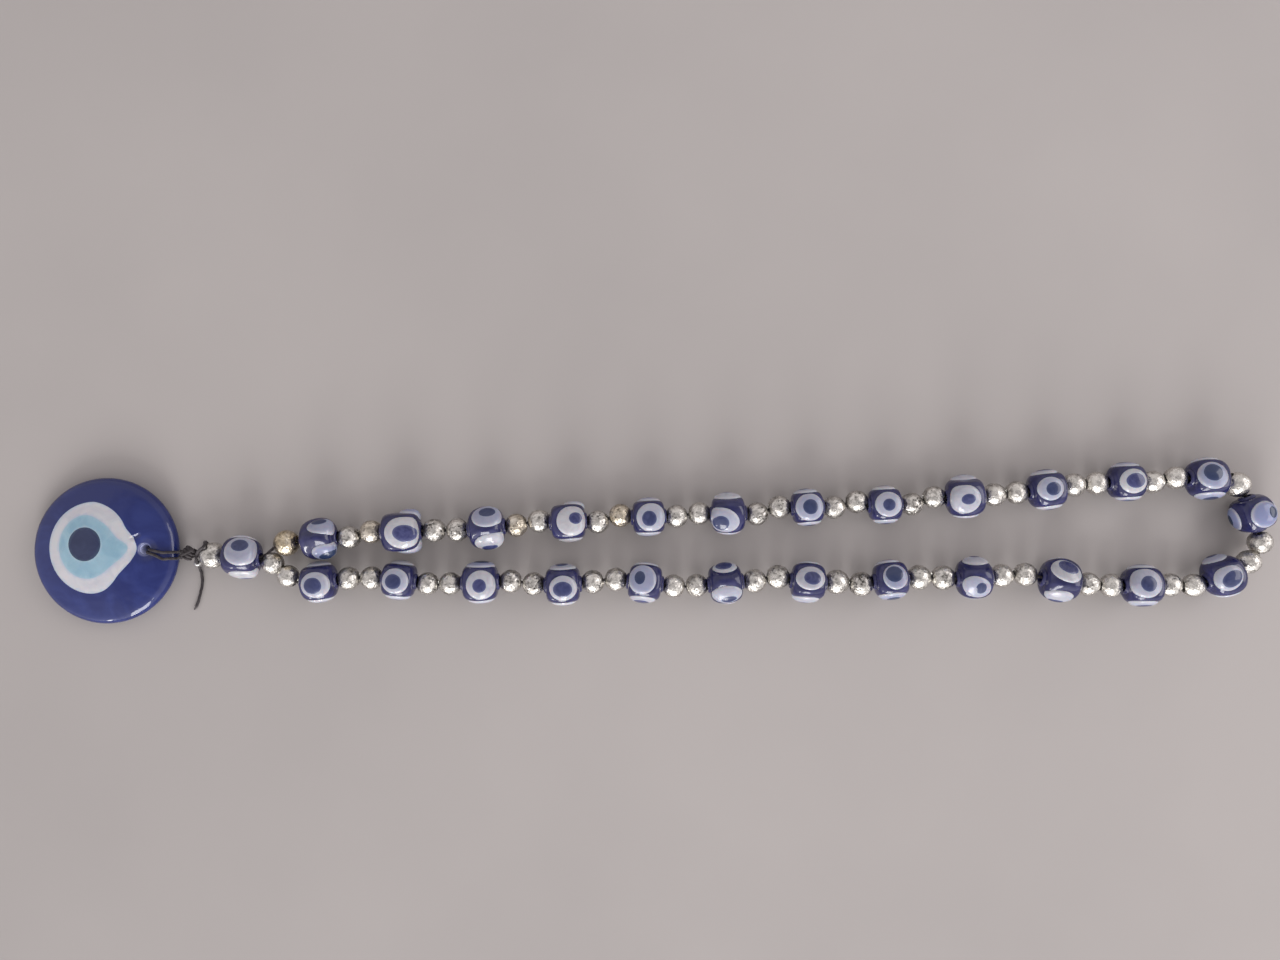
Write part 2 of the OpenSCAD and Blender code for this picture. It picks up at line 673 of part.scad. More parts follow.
// Then it lies on the surface. These points are in knot diameters from the knot's middle, and
// their heights in thread diameters.
TAIL_LYING = [
    [0.38, -1.20, 1.50], [0.46, -1.65, 0.75], [0.52, -2.50, 0.55], [0.35, -3.44, 0.55],
    [0.09, -4.30, 0.55], [-0.12, -4.67, 0.55]
];
tail_start = knot_at + knot_d * [0.42, -0.35, -0.38];
tail_points = concat(
    [tail_start],
    [for (p = TAIL_TURN) lead_ball_at + lead_ball_size * ball_d / 2 * p],
    [for (p = TAIL_LYING) [knot_at.x + knot_d * p.x, knot_at.y + knot_d * p.y, thread_d * p.z]]
);
crimp_leg = len(TAIL_TURN) - 1;
module thread_tail() {
    color(thread_black) tube([for (p = tail_points) p - origin], thread_d);
}
module crimp() {
    color(silver)
        between(tail_points[crimp_leg], tail_points[crimp_leg + 1])
            rotate([0, 90, 0])
                difference() {
                    cylinder(d = crimp_d, h = crimp_len, center = true);
                    cylinder(d = thread_d + 2 * thread_gap, h = crimp_len + past, center = true);
                }
}

glass_disc();
eye_white();
eye_iris();
eye_pupil();
tie_loop();
knot();
for (row = [0:bead_count - 1])
    placed_eye_bead(row);
silver_beads_upper();
silver_beads_lower();
thread();
thread_tail();
crimp();
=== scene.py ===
# An evil eye pendant: a cobalt glass eye disc tied to a closed loop of glass eye beads and pitted
# silver coloured balls, lying on a table. Shapes are worked out in millimetres.
import math

import bpy
import numpy as np
from mathutils import Matrix, Vector, noise
from mathutils.geometry import delaunay_2d_cdt


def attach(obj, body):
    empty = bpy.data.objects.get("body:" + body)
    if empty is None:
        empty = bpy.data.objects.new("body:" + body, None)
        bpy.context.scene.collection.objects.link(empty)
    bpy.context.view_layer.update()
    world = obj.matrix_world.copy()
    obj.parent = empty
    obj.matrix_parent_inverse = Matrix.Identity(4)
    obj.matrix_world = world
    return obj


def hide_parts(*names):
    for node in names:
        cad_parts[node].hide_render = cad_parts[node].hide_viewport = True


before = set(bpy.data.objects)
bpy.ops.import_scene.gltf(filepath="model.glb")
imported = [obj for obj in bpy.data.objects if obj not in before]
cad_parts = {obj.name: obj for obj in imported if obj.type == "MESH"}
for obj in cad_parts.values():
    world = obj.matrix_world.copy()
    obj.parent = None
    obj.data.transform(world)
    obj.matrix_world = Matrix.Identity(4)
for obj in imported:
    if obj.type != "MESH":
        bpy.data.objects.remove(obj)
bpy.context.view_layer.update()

# Glass disc
# The maker presses a drop of cobalt glass into a dome on a flat plate while it is hot, so its face
# and its rim are fire polished and its back is flat. A pin opens the hole and leaves a dimple.
MM = 0.001
disc_r = 17.497
disc_t = 6.3
rim_r = 2.2
rim_x = disc_r - rim_r
rim_z = 0.94 * rim_r
rim_turn = math.radians(20)
rim_top = math.pi / 2 - rim_turn
rim_foot = math.asin(rim_z / rim_r)
dome_edge = rim_x + rim_r * math.sin(rim_turn)
dome_drop = disc_t - rim_z - rim_r * math.cos(rim_turn)
dome_r = (dome_edge ** 2 + dome_drop ** 2) / (2 * dome_drop)
flat_r = rim_x + rim_r * math.cos(rim_foot)
hole_at = (10.5, 0.5)
hole_r = 1.2
lip_r = 0.35
dimple_reach = 3.5
dimple_depth = 0.85
# The pin has folded the soft glass into a short crease up and to the left of its dimple
crease_at = Vector((8.45, 3.85))
crease_way = Vector((0.87, 0.49)).normalized()
crease_half = 1.45
crease_wide = 0.3
crease_step = 0.52
crease_fade = 1.8
disc_at = Vector((-130.60, -2.57, 0.0))
disc_tilt = math.radians(1.854)


def on_disc(point):
    """A point of the lying disc, which leans on the thread under its hole."""
    x, y, z = point
    across = x + flat_r
    return disc_at + Vector((
        across * math.cos(disc_tilt) - z * math.sin(disc_tilt) - flat_r,
        y,
        across * math.sin(disc_tilt) + z * math.cos(disc_tilt),
    ))


def in_crease(x, y):
    """Place along the crease and aside from it, towards the dimple."""
    off = Vector((x, y)) - crease_at
    return off.dot(crease_way), off.x * crease_way.y - off.y * crease_way.x


def face_height(x, y):
    """Height of the disc's face, with its dimple and the rounded lip of its hole."""
    dome = disc_t - dome_r + math.sqrt(dome_r ** 2 - x * x - y * y)
    away = math.hypot(x - hole_at[0], y - hole_at[1])
    dent = dimple_depth * max(0.0, 1 - (away / dimple_reach) ** 2) ** 1.6
    into_lip = min(lip_r, max(0.0, hole_r + lip_r - away))
    along, aside = in_crease(x, y)
    fold = 0.0
    if abs(along) < crease_half and -crease_wide < aside < crease_fade:
        below = min(1.0, (aside + crease_wide) / 2 / crease_wide)
        fold = below * below * (3 - 2 * below)
        fold *= (1 - max(0.0, aside - crease_wide) / (crease_fade - crease_wide)) ** 2
        fold *= crease_step * (1 - (along / crease_half) ** 2)
    return dome - dent - fold - lip_r + math.sqrt(lip_r ** 2 - into_lip ** 2)


def drop_reach(reaches, angle):
    """Reach of a drop of glass at an angle, smoothed between values at even angles."""
    place = angle / math.tau * len(reaches) % len(reaches)
    i = int(place)
    t = place - i
    a, b, c, d = (reaches[(i + k) % len(reaches)] for k in (-1, 0, 1, 2))
    return b + t * (c - a + t * (2 * a - 5 * b + 4 * c - d + t * (3 * b - 3 * c + d - a))) / 2


# Each drop: its middle, its radius, its reaches as shares of that, and how deep it goes
DROPS = {
    "white": ((-1.40, 0.88), 10.9, 2.6, (
        0.94, 0.91, 0.85, 0.88, 0.92, 0.96, 1, 1, 1, 1, 1, 1,
        1, 1, 1, 1, 1, 1, 0.99, 0.95, 0.87, 0.81, 0.83, 0.90,
    )),
    "iris": ((-1.75, 1.20), 7.9, 1.7, (
        1.12, 0.88, 0.79, 0.78, 0.80, 0.84, 0.92, 0.98, 1, 1, 1, 1,
        1, 1, 1, 1, 1, 0.98, 0.95, 0.90, 0.86, 0.85, 0.90, 1.02,
    )),
    "pupil": ((-3.20, 1.80), 4.0, 0.9, (1, 1, 1, 1)),
}


def in_drop(kind, x, y, margin=0.0):
    """Whether a place is inside a drop's outline, or within a margin of it."""
    middle, radius, _, reaches = DROPS[kind]
    dx, dy = x - middle[0], y - middle[1]
    return math.hypot(dx, dy) < radius * drop_reach(reaches, math.atan2(dy, dx)) + margin


def glass_at(x, y):
    """Which glass shows at a place on the disc's face."""
    for kind in ("pupil", "iris", "white"):
        if in_drop(kind, x, y):
            return kind
    return "cobalt"


# The face as one fine sheet of triangles that follows the outlines of all the drops. Its points lie
# in rings round the hole, in rows along the crease, and in wider rings over the rest.
outline_count = 144
hole_rings = (0.06, 0.2, 0.5, 0.8, 1.0, 1.6, 2.3, 3.2, 4.5, 6.0)
hole_fine_r = hole_r + 6.5 * lip_r
crease_rows = (-0.36, -0.27, -0.18, -0.09, 0.0, 0.09, 0.18, 0.27, 0.36, 0.58)
crease_halves = 9
sheet = []
sheet_edges = []


def add_loop(points):
    """Adds a closed outline to the sheet, with its edges."""
    first = len(sheet)
    sheet.extend(points)
    sheet_edges.extend((first + i, first + (i + 1) % len(points)) for i in range(len(points)))


def circle_points(middle, radius, count):
    turns = (math.tau * i / count for i in range(count))
    return [(middle[0] + radius * math.cos(t), middle[1] + radius * math.sin(t)) for t in turns]


rim_count = 160
hole_count = 48
add_loop(circle_points((0, 0), dome_edge, rim_count))
add_loop(circle_points(hole_at, hole_r, hole_count))
for kind, (middle, radius, _, reaches) in DROPS.items():
    outline = []
    for i in range(outline_count):
        turn = math.tau * i / outline_count
        reach = radius * drop_reach(reaches, turn)
        outline.append((middle[0] + reach * math.cos(turn), middle[1] + reach * math.sin(turn)))
    add_loop(outline)
for share in hole_rings:
    sheet.extend(
        p for p in circle_points(hole_at, hole_r + lip_r * share, hole_count)
        if not any(in_drop(k, *p, 0.15) != in_drop(k, *p, -0.15) for k in DROPS)
    )
for i in range(2 * crease_halves + 1):
    for aside in crease_rows:
        along = crease_half * (i / crease_halves - 1)
        x = crease_at.x + along * crease_way.x + aside * crease_way.y
        y = crease_at.y + along * crease_way.y - aside * crease_way.x
        if not any(in_drop(k, x, y, 0.02) != in_drop(k, x, y, -0.02) for k in DROPS):
            sheet.append((x, y))
sheet_step = 0.6
near_outline = 0.3
for ring in range(1, int(dome_edge / sheet_step)):
    radius = ring * dome_edge / int(dome_edge / sheet_step)
    for x, y in circle_points((0, 0), radius, max(6, int(math.tau * radius / sheet_step))):
        beside = any(
            in_drop(k, x, y, near_outline) != in_drop(k, x, y, -near_outline) for k in DROPS
        )
        along, aside = in_crease(x, y)
        creased = abs(along) < crease_half + 0.1 and -0.4 < aside < 0.7
        by_hole = math.hypot(x - hole_at[0], y - hole_at[1]) < hole_fine_r
        if not (beside or creased or by_hole):
            sheet.append((x, y))
found = delaunay_2d_cdt([Vector(p) for p in sheet], sheet_edges, [], 0, 1e-7)
sheet = [tuple(p) for p in found[0]]
triangles = []
triangle_kinds = []
for corners in found[2]:
    x = sum(sheet[i][0] for i in corners) / len(corners)
    y = sum(sheet[i][1] for i in corners) / len(corners)
    if math.hypot(x - hole_at[0], y - hole_at[1]) > hole_r * 0.99:
        triangles.append(tuple(corners))
        triangle_kinds.append(glass_at(x, y))


def open_edges(faces):
    """Edges that only one of the faces has, in that face's direction."""
    seen = {(a, b) for face in faces for a, b in zip(face, face[1:] + face[:1])}
    return [(a, b) for a, b in seen if (b, a) not in seen]


def feed(node, inputs):
    """Links a node's inputs from sockets, or sets them to values."""
    for label, value in inputs.items():
        if isinstance(value, bpy.types.NodeSocket):
            node.id_data.links.new(value, node.inputs[label])
        else:
            node.inputs[label].default_value = value


def new_material(name, **plain):
    """A material and its node tree and shader, with the values that are the same all over it."""
    made = bpy.data.materials.new(name)
    made.use_nodes = True
    shader = made.node_tree.nodes["Principled BSDF"]
    feed(shader, {label.replace("_", " "): value for label, value in plain.items()})
    return made, made.node_tree, shader


def add_node(tree, kind, inputs=None, **settings):
    """A new node with its settings and inputs."""
    made = tree.nodes.new(kind)
    for label, value in settings.items():
        setattr(made, label, value)
    feed(made, inputs or {})
    return made


def blend_colours(tree, share, first, second):
    """The colour that goes from first to second as share goes from 0 to 1."""
    made = add_node(tree, "ShaderNodeMix", {0: share, 6: first, 7: second}, data_type="RGBA")
    return made.outputs[2]


def spread(tree, value, low, high, to_low=0.0, to_high=1.0):
    """A value mapped from one range to another, and kept inside it."""
    made = add_node(tree, "ShaderNodeMapRange", {
        "Value": value, "From Min": low, "From Max": high, "To Min": to_low, "To Max": to_high,
    })
    return made.outputs["Result"]


def work_out(tree, operation, first, second):
    """What a math operation makes of two values."""
    return add_node(tree, "ShaderNodeMath", {0: first, 1: second}, operation=operation).outputs[0]


def grain(tree, place, scale, detail, **more):
    """How strong a noise texture is at a place."""
    inputs = {"Vector": place, "Scale": scale, "Detail": detail, **more}
    return add_node(tree, "ShaderNodeTexNoise", inputs).outputs["Fac"]


def relief(tree, strength, distance, height):
    """The normal of a surface with low bumps."""
    inputs = {"Strength": strength, "Distance": distance, "Height": height}
    return add_node(tree, "ShaderNodeBump", inputs).outputs["Normal"]


def point_value(tree, name):
    """A value that a piece's points carry."""
    return add_node(tree, "ShaderNodeAttribute", attribute_name=name).outputs["Fac"]


def add_look(tree, shader, effect, inputs):
    """Gives a shader the colour, roughness and normal that an effect puts out."""
    look = add_node(tree, "ShaderNodeGroup", inputs, node_tree=effect).outputs
    feed(shader, {
        "Base Color": look["Colour"], "Roughness": look["Roughness"], "Normal": look["Normal"],
    })
    return look["Colour"]


LOOK = {"Colour": "NodeSocketColor", "Roughness": "NodeSocketFloat", "Normal": "NodeSocketVector"}


def new_effect(name, inputs):
    """A shader node group for an effect that several materials share."""
    group = bpy.data.node_groups.new(name, "ShaderNodeTree")
    for label, kind, value in inputs:
        group.interface.new_socket(label, in_out="INPUT", socket_type=kind).default_value = value
    for label, kind in LOOK.items():
        group.interface.new_socket(label, in_out="OUTPUT", socket_type=kind)
    return group, group.nodes.new("NodeGroupInput").outputs, group.nodes.new("NodeGroupOutput")


# Melted glass: cloudy streaks where the hot glass folded, a surface that waves a little, and a
# thin film from handling that dulls the gloss in patches
melt, melt_in, melt_out = new_effect(
    "melted_glass",
    [
        ("Colour", "NodeSocketColor", (0.5, 0.5, 0.5, 1)),
        ("Streak Colour", "NodeSocketColor", (0.6, 0.6, 0.6, 1)),
        ("Streak Size", "NodeSocketFloat", 150.0),
        ("Gloss", "NodeSocketFloat", 0.06),
        ("Film", "NodeSocketFloat", 0.1),
        ("Wave", "NodeSocketFloat", 0.3),
    ],
)
melt_place = add_node(melt, "ShaderNodeTexCoord").outputs["Object"]
folded = grain(melt, melt_place, melt_in["Streak Size"], 5.0, Roughness=0.55, Distortion=1.6)
streak = spread(melt, folded, 0.42, 0.68)
smear = spread(melt, grain(melt, melt_place, 420.0, 6.0), 0.45, 0.75)
film = work_out(melt, "MULTIPLY", smear, melt_in["Film"])
feed(melt_out, {
    "Colour": blend_colours(melt, streak, melt_in["Colour"], melt_in["Streak Colour"]),
    "Roughness": work_out(melt, "ADD", film, melt_in["Gloss"]),
    "Normal": relief(melt, melt_in["Wave"], 0.0004, grain(melt, melt_place, 330.0, 1.0)),
})


def glass_material(
    name, colour, streak_colour, size, gloss=0.06, film=0.1, wave=0.3, blends=(), **plain,
):
    """A glass with the melted look in its own colours.

    Each of the blends is the name of a value that its points have, and the colour it goes to.
    """
    made, tree, shader = new_material(name, IOR=1.52, **plain)
    blended = add_look(tree, shader, melt, {
        "Colour": (*colour, 1), "Streak Colour": (*streak_colour, 1), "Streak Size": size,
        "Gloss": gloss, "Film": film, "Wave": wave,
    })
    for carried, blend in blends:
        blended = blend_colours(tree, point_value(tree, carried), blended, (*blend, 1))
    feed(shader, {"Base Color": blended})
    return made


def add_shape(points, faces, more_points, more_faces):
    """Adds another shape's points and faces to those of a piece."""
    faces += [tuple(i + len(points) for i in f) for f in more_faces]
    points += more_points


def add_piece(
    name, points, faces, materials, replaced, face_kinds=None, sharp=40, shares=None,
):
    """A piece from points in millimetres, smooth but for its sharp edges, in place of CAD nodes."""
    mesh = bpy.data.meshes.new(name)
    mesh.from_pydata([tuple(MM * c for c in p) for p in points], [], faces)
    for material in materials:
        mesh.materials.append(material)
    if face_kinds is not None:
        mesh.polygons.foreach_set("material_index", face_kinds)
    mesh.polygons.foreach_set("use_smooth", [True] * len(mesh.polygons))
    mesh.set_sharp_from_angle(angle=math.radians(sharp))
    for label, values in (shares or {}).items():
        mesh.attributes.new(label, "FLOAT", "POINT").data.foreach_set("value", values)
    mesh.update()
    piece = bpy.data.objects.new(name, mesh)
    bpy.context.scene.collection.objects.link(piece)
    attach(piece, "root")
    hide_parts(*replaced)
    return piece


# The cobalt body: its face outside the white drop, the pocket that the drop fills, the round rim,
# the flat back and the wall of the hole
# Round the hole's lip the face fades to pale blue: pin dust and painted light for the shaded hole
cobalt_glass = glass_material(
    "cobalt_glass", (0.011, 0.019, 0.112), (0.020, 0.032, 0.152), 90.0, gloss=0.05, film=0.12,
    blends=[("dust_and_painted_light", (0.20, 0.22, 0.38))],
)
# The pin was dusted so that it came free, and the wall of the hole is still pale with it. It is
# painted paler still, as painted light that stands in for the light seen in the shaded hole.
hole_dust_and_painted_light = glass_material(
    "hole_dust_and_painted_light", (0.56, 0.60, 0.88), (0.68, 0.71, 0.92), 500.0, gloss=0.6, film=0.3,
)
count = len(sheet)
pocket_depth = DROPS["white"][2]
body_faces = [f for f, k in zip(triangles, triangle_kinds) if k == "cobalt"]
pocket = [f for f, k in zip(triangles, triangle_kinds) if k != "cobalt"]
body_points = [(x, y, face_height(x, y)) for x, y in sheet]
body_points += [(x, y, face_height(x, y) - pocket_depth) for x, y in sheet]
back_share = flat_r / dome_edge
body_points += [(x * back_share, y * back_share, 0.0) for x, y in sheet]
rim_loop = []
hole_loop = []
for a, b in open_edges(triangles):
    (rim_loop if math.hypot(*sheet[a]) > dome_edge - 0.1 else hole_loop).append((a, b))
body_faces += [tuple(i + count for i in f) for f in pocket]
body_faces += [(a, b, b + count, a + count) for a, b in open_edges(pocket)]
body_faces += [tuple(i + 2 * count for i in reversed(f)) for f in triangles]
wall_first = len(body_faces)
body_faces += [(b, a, a + 2 * count, b + 2 * count) for a, b in hole_loop]
wall_last = len(body_faces)
rim_steps = 14
rim_rows = {}
for a, _ in rim_loop:
    x, y = sheet[a]
    turn = math.atan2(y, x)
    rim_rows[a] = [a]
    for step in range(1, rim_steps):
        fall = rim_top - (rim_foot + rim_top) * step / rim_steps
        reach = rim_x + rim_r * math.cos(fall)
        rim_rows[a].append(len(body_points))
        body_points.append((
            reach * math.cos(turn), reach * math.sin(turn), rim_z + rim_r * math.sin(fall),
        ))
    rim_rows[a].append(a + 2 * count)
for a, b in rim_loop:
    for step in range(rim_steps):
        body_faces.append((
            rim_rows[b][step], rim_rows[a][step], rim_rows[a][step + 1], rim_rows[b][step + 1],
        ))
body_kinds = [1 if wall_first <= i < wall_last else 0 for i in range(len(body_faces))]
# How far the pale dust and painted light reach out from the hole on the disc's face
dust_and_painted_light_reach = 0.55
dust_and_painted_light = [0.0] * len(body_points)
for i, (x, y) in enumerate(sheet):
    away = math.hypot(x - hole_at[0], y - hole_at[1]) - hole_r
    dust_and_painted_light[i] = max(0.0, 1 - max(0.0, away) / dust_and_painted_light_reach)
add_piece(
    "disc_body", [on_disc(p) for p in body_points], body_faces, [cobalt_glass, hole_dust_and_painted_light],
    ["glass_disc"], body_kinds, shares={"dust_and_painted_light": dust_and_painted_light},
)

# White, light blue and dark drops
# They are laid on the hot disc one on another and pressed flush with its face. The opaque white
# glass bleeds a little at its edge, and the light blue one lets some of the white through.
white_glass = glass_material(
    "white_glass", (0.53, 0.53, 0.56), (0.45, 0.45, 0.50), 120.0, gloss=0.09, wave=0.2,
    blends=[("bleed", (0.36, 0.42, 0.54))], Subsurface_Weight=0.25, Subsurface_Scale=0.0012,
)
light_blue_glass = glass_material(
    "light_blue_glass", (0.214, 0.358, 0.458), (0.28, 0.43, 0.52), 140.0, gloss=0.09, wave=0.2,
    blends=[("bleed", (0.34, 0.45, 0.53))], Subsurface_Weight=0.2, Subsurface_Scale=0.001,
)
dark_glass = glass_material(
    "dark_glass", (0.014, 0.022, 0.068), (0.021, 0.031, 0.086), 200.0, gloss=0.08, wave=0.2,
    blends=[("bleed", (0.040, 0.070, 0.120))],
)
bleed_share = 0.7
for kind, material, slot, node in (
    ("white", white_glass, "white_glass", "eye_white"),
    ("iris", light_blue_glass, "light_blue_glass", "eye_iris"),
    ("pupil", dark_glass, "dark_glass", "eye_pupil"),
):
    depth = DROPS[kind][2]
    faces = [f for f, k in zip(triangles, triangle_kinds) if k == kind]
    used = sorted({i for f in faces for i in f})
    place = {i: n for n, i in enumerate(used)}
    faces = [tuple(place[i] for i in f) for f in faces]
    points = [(*sheet[i], face_height(*sheet[i])) for i in used]
    points += [(x, y, z - depth) for x, y, z in points]
    solid = faces + [tuple(i + len(used) for i in reversed(f)) for f in faces]
    solid += [(b, a, a + len(used), b + len(used)) for a, b in open_edges(faces)]
    bleed = [0.0] * len(points)
    for edge in open_edges(faces):
        for i in edge:
            bleed[i] = bleed_share
    add_piece(
        "disc_" + kind, [on_disc(p) for p in points], solid, [material], [node],
        shares={"bleed": bleed},
    )

# Eye beads
# Each is wound of dark blue glass on a rod and pressed into a rounded cube. A drop of white glass
# and a dot of blue are melted on to each of its four sides, by hand, so that no two are alike.
bead_glass = glass_material(
    "bead_glass", (0.015, 0.016, 0.072), (0.032, 0.033, 0.115), 260.0,
    gloss=0.07, film=0.16, wave=0.6,
)
bead_white = glass_material(
    "bead_white", (0.46, 0.46, 0.49), (0.37, 0.37, 0.42), 330.0, gloss=0.12, film=0.15, wave=0.5,
    blends=[("eye_blue", (0.21, 0.235, 0.39)), ("eye_rim", (0.51, 0.51, 0.55))],
    Subsurface_Weight=0.2, Subsurface_Scale=0.0008,
)
bead_dot = glass_material(
    "bead_dot", (0.030, 0.034, 0.110), (0.060, 0.066, 0.170), 450.0,
    gloss=0.10, film=0.15, wave=0.5,
    blends=[("eye_rim", (0.110, 0.120, 0.240)), ("eye_blue", (0.020, 0.036, 0.085))],
)
bead_flat = 4.1
bead_end = 4.05
bead_round = 5.2
bead_soften = 12
bead_swell = 0.022
# The body runs up to this angle from the thread, at the foot of its collar
body_tilt = math.radians(27)
# A drop stands up steeply at its edge, then in a dome, and the dot in a low dome on that. The edges
# of both go a little way into the glass below.
edge_rise = 0.20
dome_rise = 0.61
dot_rise = 0.10
white_sink = 0.15
dot_sink = 0.05
# How far a drop's outline strays from an ellipse, and where the pale rim round it starts
stray = 0.035
rim_start = 0.72
cap_flat = 3.3
# Past the flat of its side, a drop sinks this much for each millimetre that it reaches out
cap_sink = 1.0
# The drops spread a little more than the sizes below, which are those of their domes
cap_spread = 1.05
# The collar at each end of a bead, from its foot into the bore: (along, out from the axis)
COLLAR = (
    (4.09, 1.98), (4.30, 1.86), (4.45, 1.66), (4.50, 1.42), (4.44, 1.18), (4.20, 1.03), (3.2, 1.0),
)
collar_end = 4.5

# How far the top eye of each bead is turned to the left of the thread's run, in degrees
ROLLS = (
    22, 52, -4, 43, 3, 1, -17, 2, 3, -10, 1, 1, 14,
    3, 8, -11, -36, 24, -15, -21, -63, -16, 4, 3, -3, 4,
)
# Eyes that differ from the common one. Side: 0 is the top eye, 1 the right, 2 the bottom and 3 the
# left one. White and dot: middle along and across, then size along and across, and for some how far
# they are turned, in degrees. The dot's middle is from the white's.
EYES = {
    (1, 0): ((1.1, 0.3, 7.4, 6.8), (-0.3, 0.9, 3.6, 2.7)),
    (1, 1): ((0.9, -0.8, 6.8, 5.4), (0.2, -1.0, 2.8, 2.0)),
    (2, 0): ((1.7, -0.2, 6.8, 5.0), (-0.8, 0.8, 3.3, 2.2)),
    (2, 1): ((2.0, -1.1, 6.3, 4.8), (0.2, -0.5, 4.0, 2.4, 10)),
    (3, 0): ((1.3, 0.2, 7.8, 6.7), (0.3, -0.1, 4.8, 3.3, -8)),
    (3, 1): ((1.7, -0.3, 6.0, 5.0), (0.3, -0.8, 2.6, 1.8)),
    (3, 3): ((2.0, 1.2, 4.8, 4.4), (0.2, 0.8, 2.2, 1.4)),
    (4, 0): ((0.7, 0.1, 6.9, 6.2), (0.1, 0.5, 3.5, 2.6)),
    (4, 1): ((0.9, -0.4, 7.1, 5.4, 12), (-0.3, -1.1, 3.5, 2.2, 8)),
    (5, 0): ((1.1, 0.1, 6.9, 6.8), (0.7, 0.5, 2.8, 2.5)),
    (5, 1): ((0.2, -1.3, 5.8, 4.6), (0.0, -0.6, 2.6, 1.8)),
    (5, 3): ((1.5, 0.6, 5.2, 4.8), (0.1, 0.7, 2.4, 1.6)),
    (6, 0): ((0.6, -0.1, 7.1, 6.9), (-0.5, -0.2, 3.3, 3.5)),
    (6, 3): ((0.2, 1.3, 5.8, 4.6), (0.0, 0.6, 2.6, 1.8)),
    (7, 0): ((-1.5, -0.2, 7.6, 5.9, -18), (-0.4, -0.4, 3.6, 3.4)),
    (7, 3): ((0.0, 1.2, 6.4, 4.4), (0.0, 1.3, 2.6, 1.6)),
    (8, 0): ((0.0, 0.0, 7.0, 7.0), (0.1, 0.1, 3.5, 3.6)),
    (9, 0): ((0.0, 0.0, 6.6, 6.2), (0.0, -0.1, 2.9, 2.8)),
    (10, 0): ((-1.2, 0.3, 7.0, 6.4), (0.6, 0.1, 2.9, 2.2)),
    (10, 3): ((0.2, 1.4, 5.8, 4.2), (0.0, 0.8, 2.4, 1.6)),
    (11, 0): ((-0.6, 0.3, 6.0, 5.5), (0.4, -0.1, 3.2, 2.9)),
    (12, 0): ((-0.1, 0.1, 6.5, 6.0), (0.2, 0.1, 4.3, 3.4)),
    (13, 0): ((-0.8, -0.2, 6.5, 6.2, -15), (-0.2, 0.5, 3.9, 3.7)),
    (14, 0): ((0.3, 0.2, 6.2, 6.6), (0.0, 1.5, 2.6, 2.0)),
    (14, 1): ((0.0, -1.1, 5.6, 4.2), (0.1, -0.4, 2.4, 1.6)),
    (15, 0): ((0.9, -0.7, 6.5, 5.8, 15), (-0.4, 0.2, 4.6, 3.5, 15)),
    (15, 1): ((0.3, -1.3, 5.6, 4.4), (0.0, -0.5, 2.6, 1.8)),
    (16, 0): ((1.0, -0.2, 7.0, 6.6), (-0.3, 0.2, 3.3, 3.3)),
    (17, 0): ((0.2, 0.1, 6.6, 5.4, -15), (-0.3, -0.7, 4.2, 3.2, -15)),
    (17, 3): ((0.5, 0.5, 6.2, 4.6), (0.2, 1.2, 3.4, 1.8)),
    (18, 0): ((0.5, 0.1, 7.0, 5.4, -28), (-0.7, -0.1, 2.4, 2.7)),
    (18, 1): ((-0.4, -1.4, 6.2, 4.2), (0.0, -0.9, 2.4, 1.4)),
    (19, 0): ((-0.3, 0.0, 5.8, 5.9), (0.3, -0.6, 3.8, 3.6)),
    (20, 0): ((0.1, 0.2, 6.8, 5.6, 8), (-0.3, 0.1, 3.7, 2.9)),
    (20, 3): ((0.4, 0.9, 6.4, 4.4, 12), (0.0, 1.0, 2.6, 1.6)),
    (21, 0): ((-0.1, -0.6, 5.8, 4.6), (0.2, 0.1, 3.8, 3.0)),
    (21, 3): ((0.2, 0.6, 7.2, 4.8), (-0.4, 0.9, 3.4, 1.9)),
    (22, 0): ((0.7, 0.0, 6.4, 6.9), (0.5, -0.2, 2.3, 2.9)),
    (23, 0): ((-0.3, 0.2, 6.3, 5.8), (0.1, 0.1, 4.1, 3.4)),
    (24, 0): ((-0.7, 0.1, 6.6, 6.6), (0.3, 0.0, 2.8, 2.9)),
    (25, 0): ((0.1, 0.1, 6.4, 6.1), (0.3, 0.1, 3.6, 3.4)),
    (25, 1): ((0.0, -1.3, 5.8, 4.6), (0.0, -0.6, 2.6, 1.8)),
    (26, 0): ((-0.3, 0.1, 6.7, 6.1), (0.4, 0.0, 3.9, 3.6)),
    (26, 1): ((0.0, -1.3, 5.8, 4.6), (0.0, -0.6, 2.6, 1.8)),
}
# How blue the white of an eye is, from warm white to a pale blue
BLUE_EYES = {
    (1, 0): 0.45, (2, 0): 0.6, (2, 1): 0.9, (3, 0): 0.0, (4, 0): 0.6, (4, 1): 0.1, (5, 0): 0.0,
    (6, 0): 0.35, (7, 0): 0.4, (8, 0): 0.6, (9, 0): 0.4, (10, 0): 0.2, (11, 0): 0.5,
    (14, 0): 1.0, (14, 1): 1.0, (15, 0): 0.4, (18, 0): 0.5,
    (22, 0): 0.7, (23, 0): 0.2, (24, 0): 0.1, (25, 0): 0.4, (26, 0): 0.3,
}
common_white = (0.0, 0.0, 6.2, 6.0)
common_dot = (0.0, 0.0, 3.2, 3.1)


def node_mesh(name):
    """Points, in millimetres, and triangles of a CAD node, with points at one place made one."""
    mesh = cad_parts[name].data
    places = np.empty(len(mesh.vertices) * 3)
    mesh.vertices.foreach_get("co", places)
    mesh.calc_loop_triangles()
    corners = np.empty(len(mesh.loop_triangles) * 3, int)
    mesh.loop_triangles.foreach_get("vertices", corners)
    points, where = np.unique(np.round(places.reshape(-1, 3) / MM, 4), axis=0, return_inverse=True)
    return points, where.reshape(-1)[corners].reshape(-1, 3)


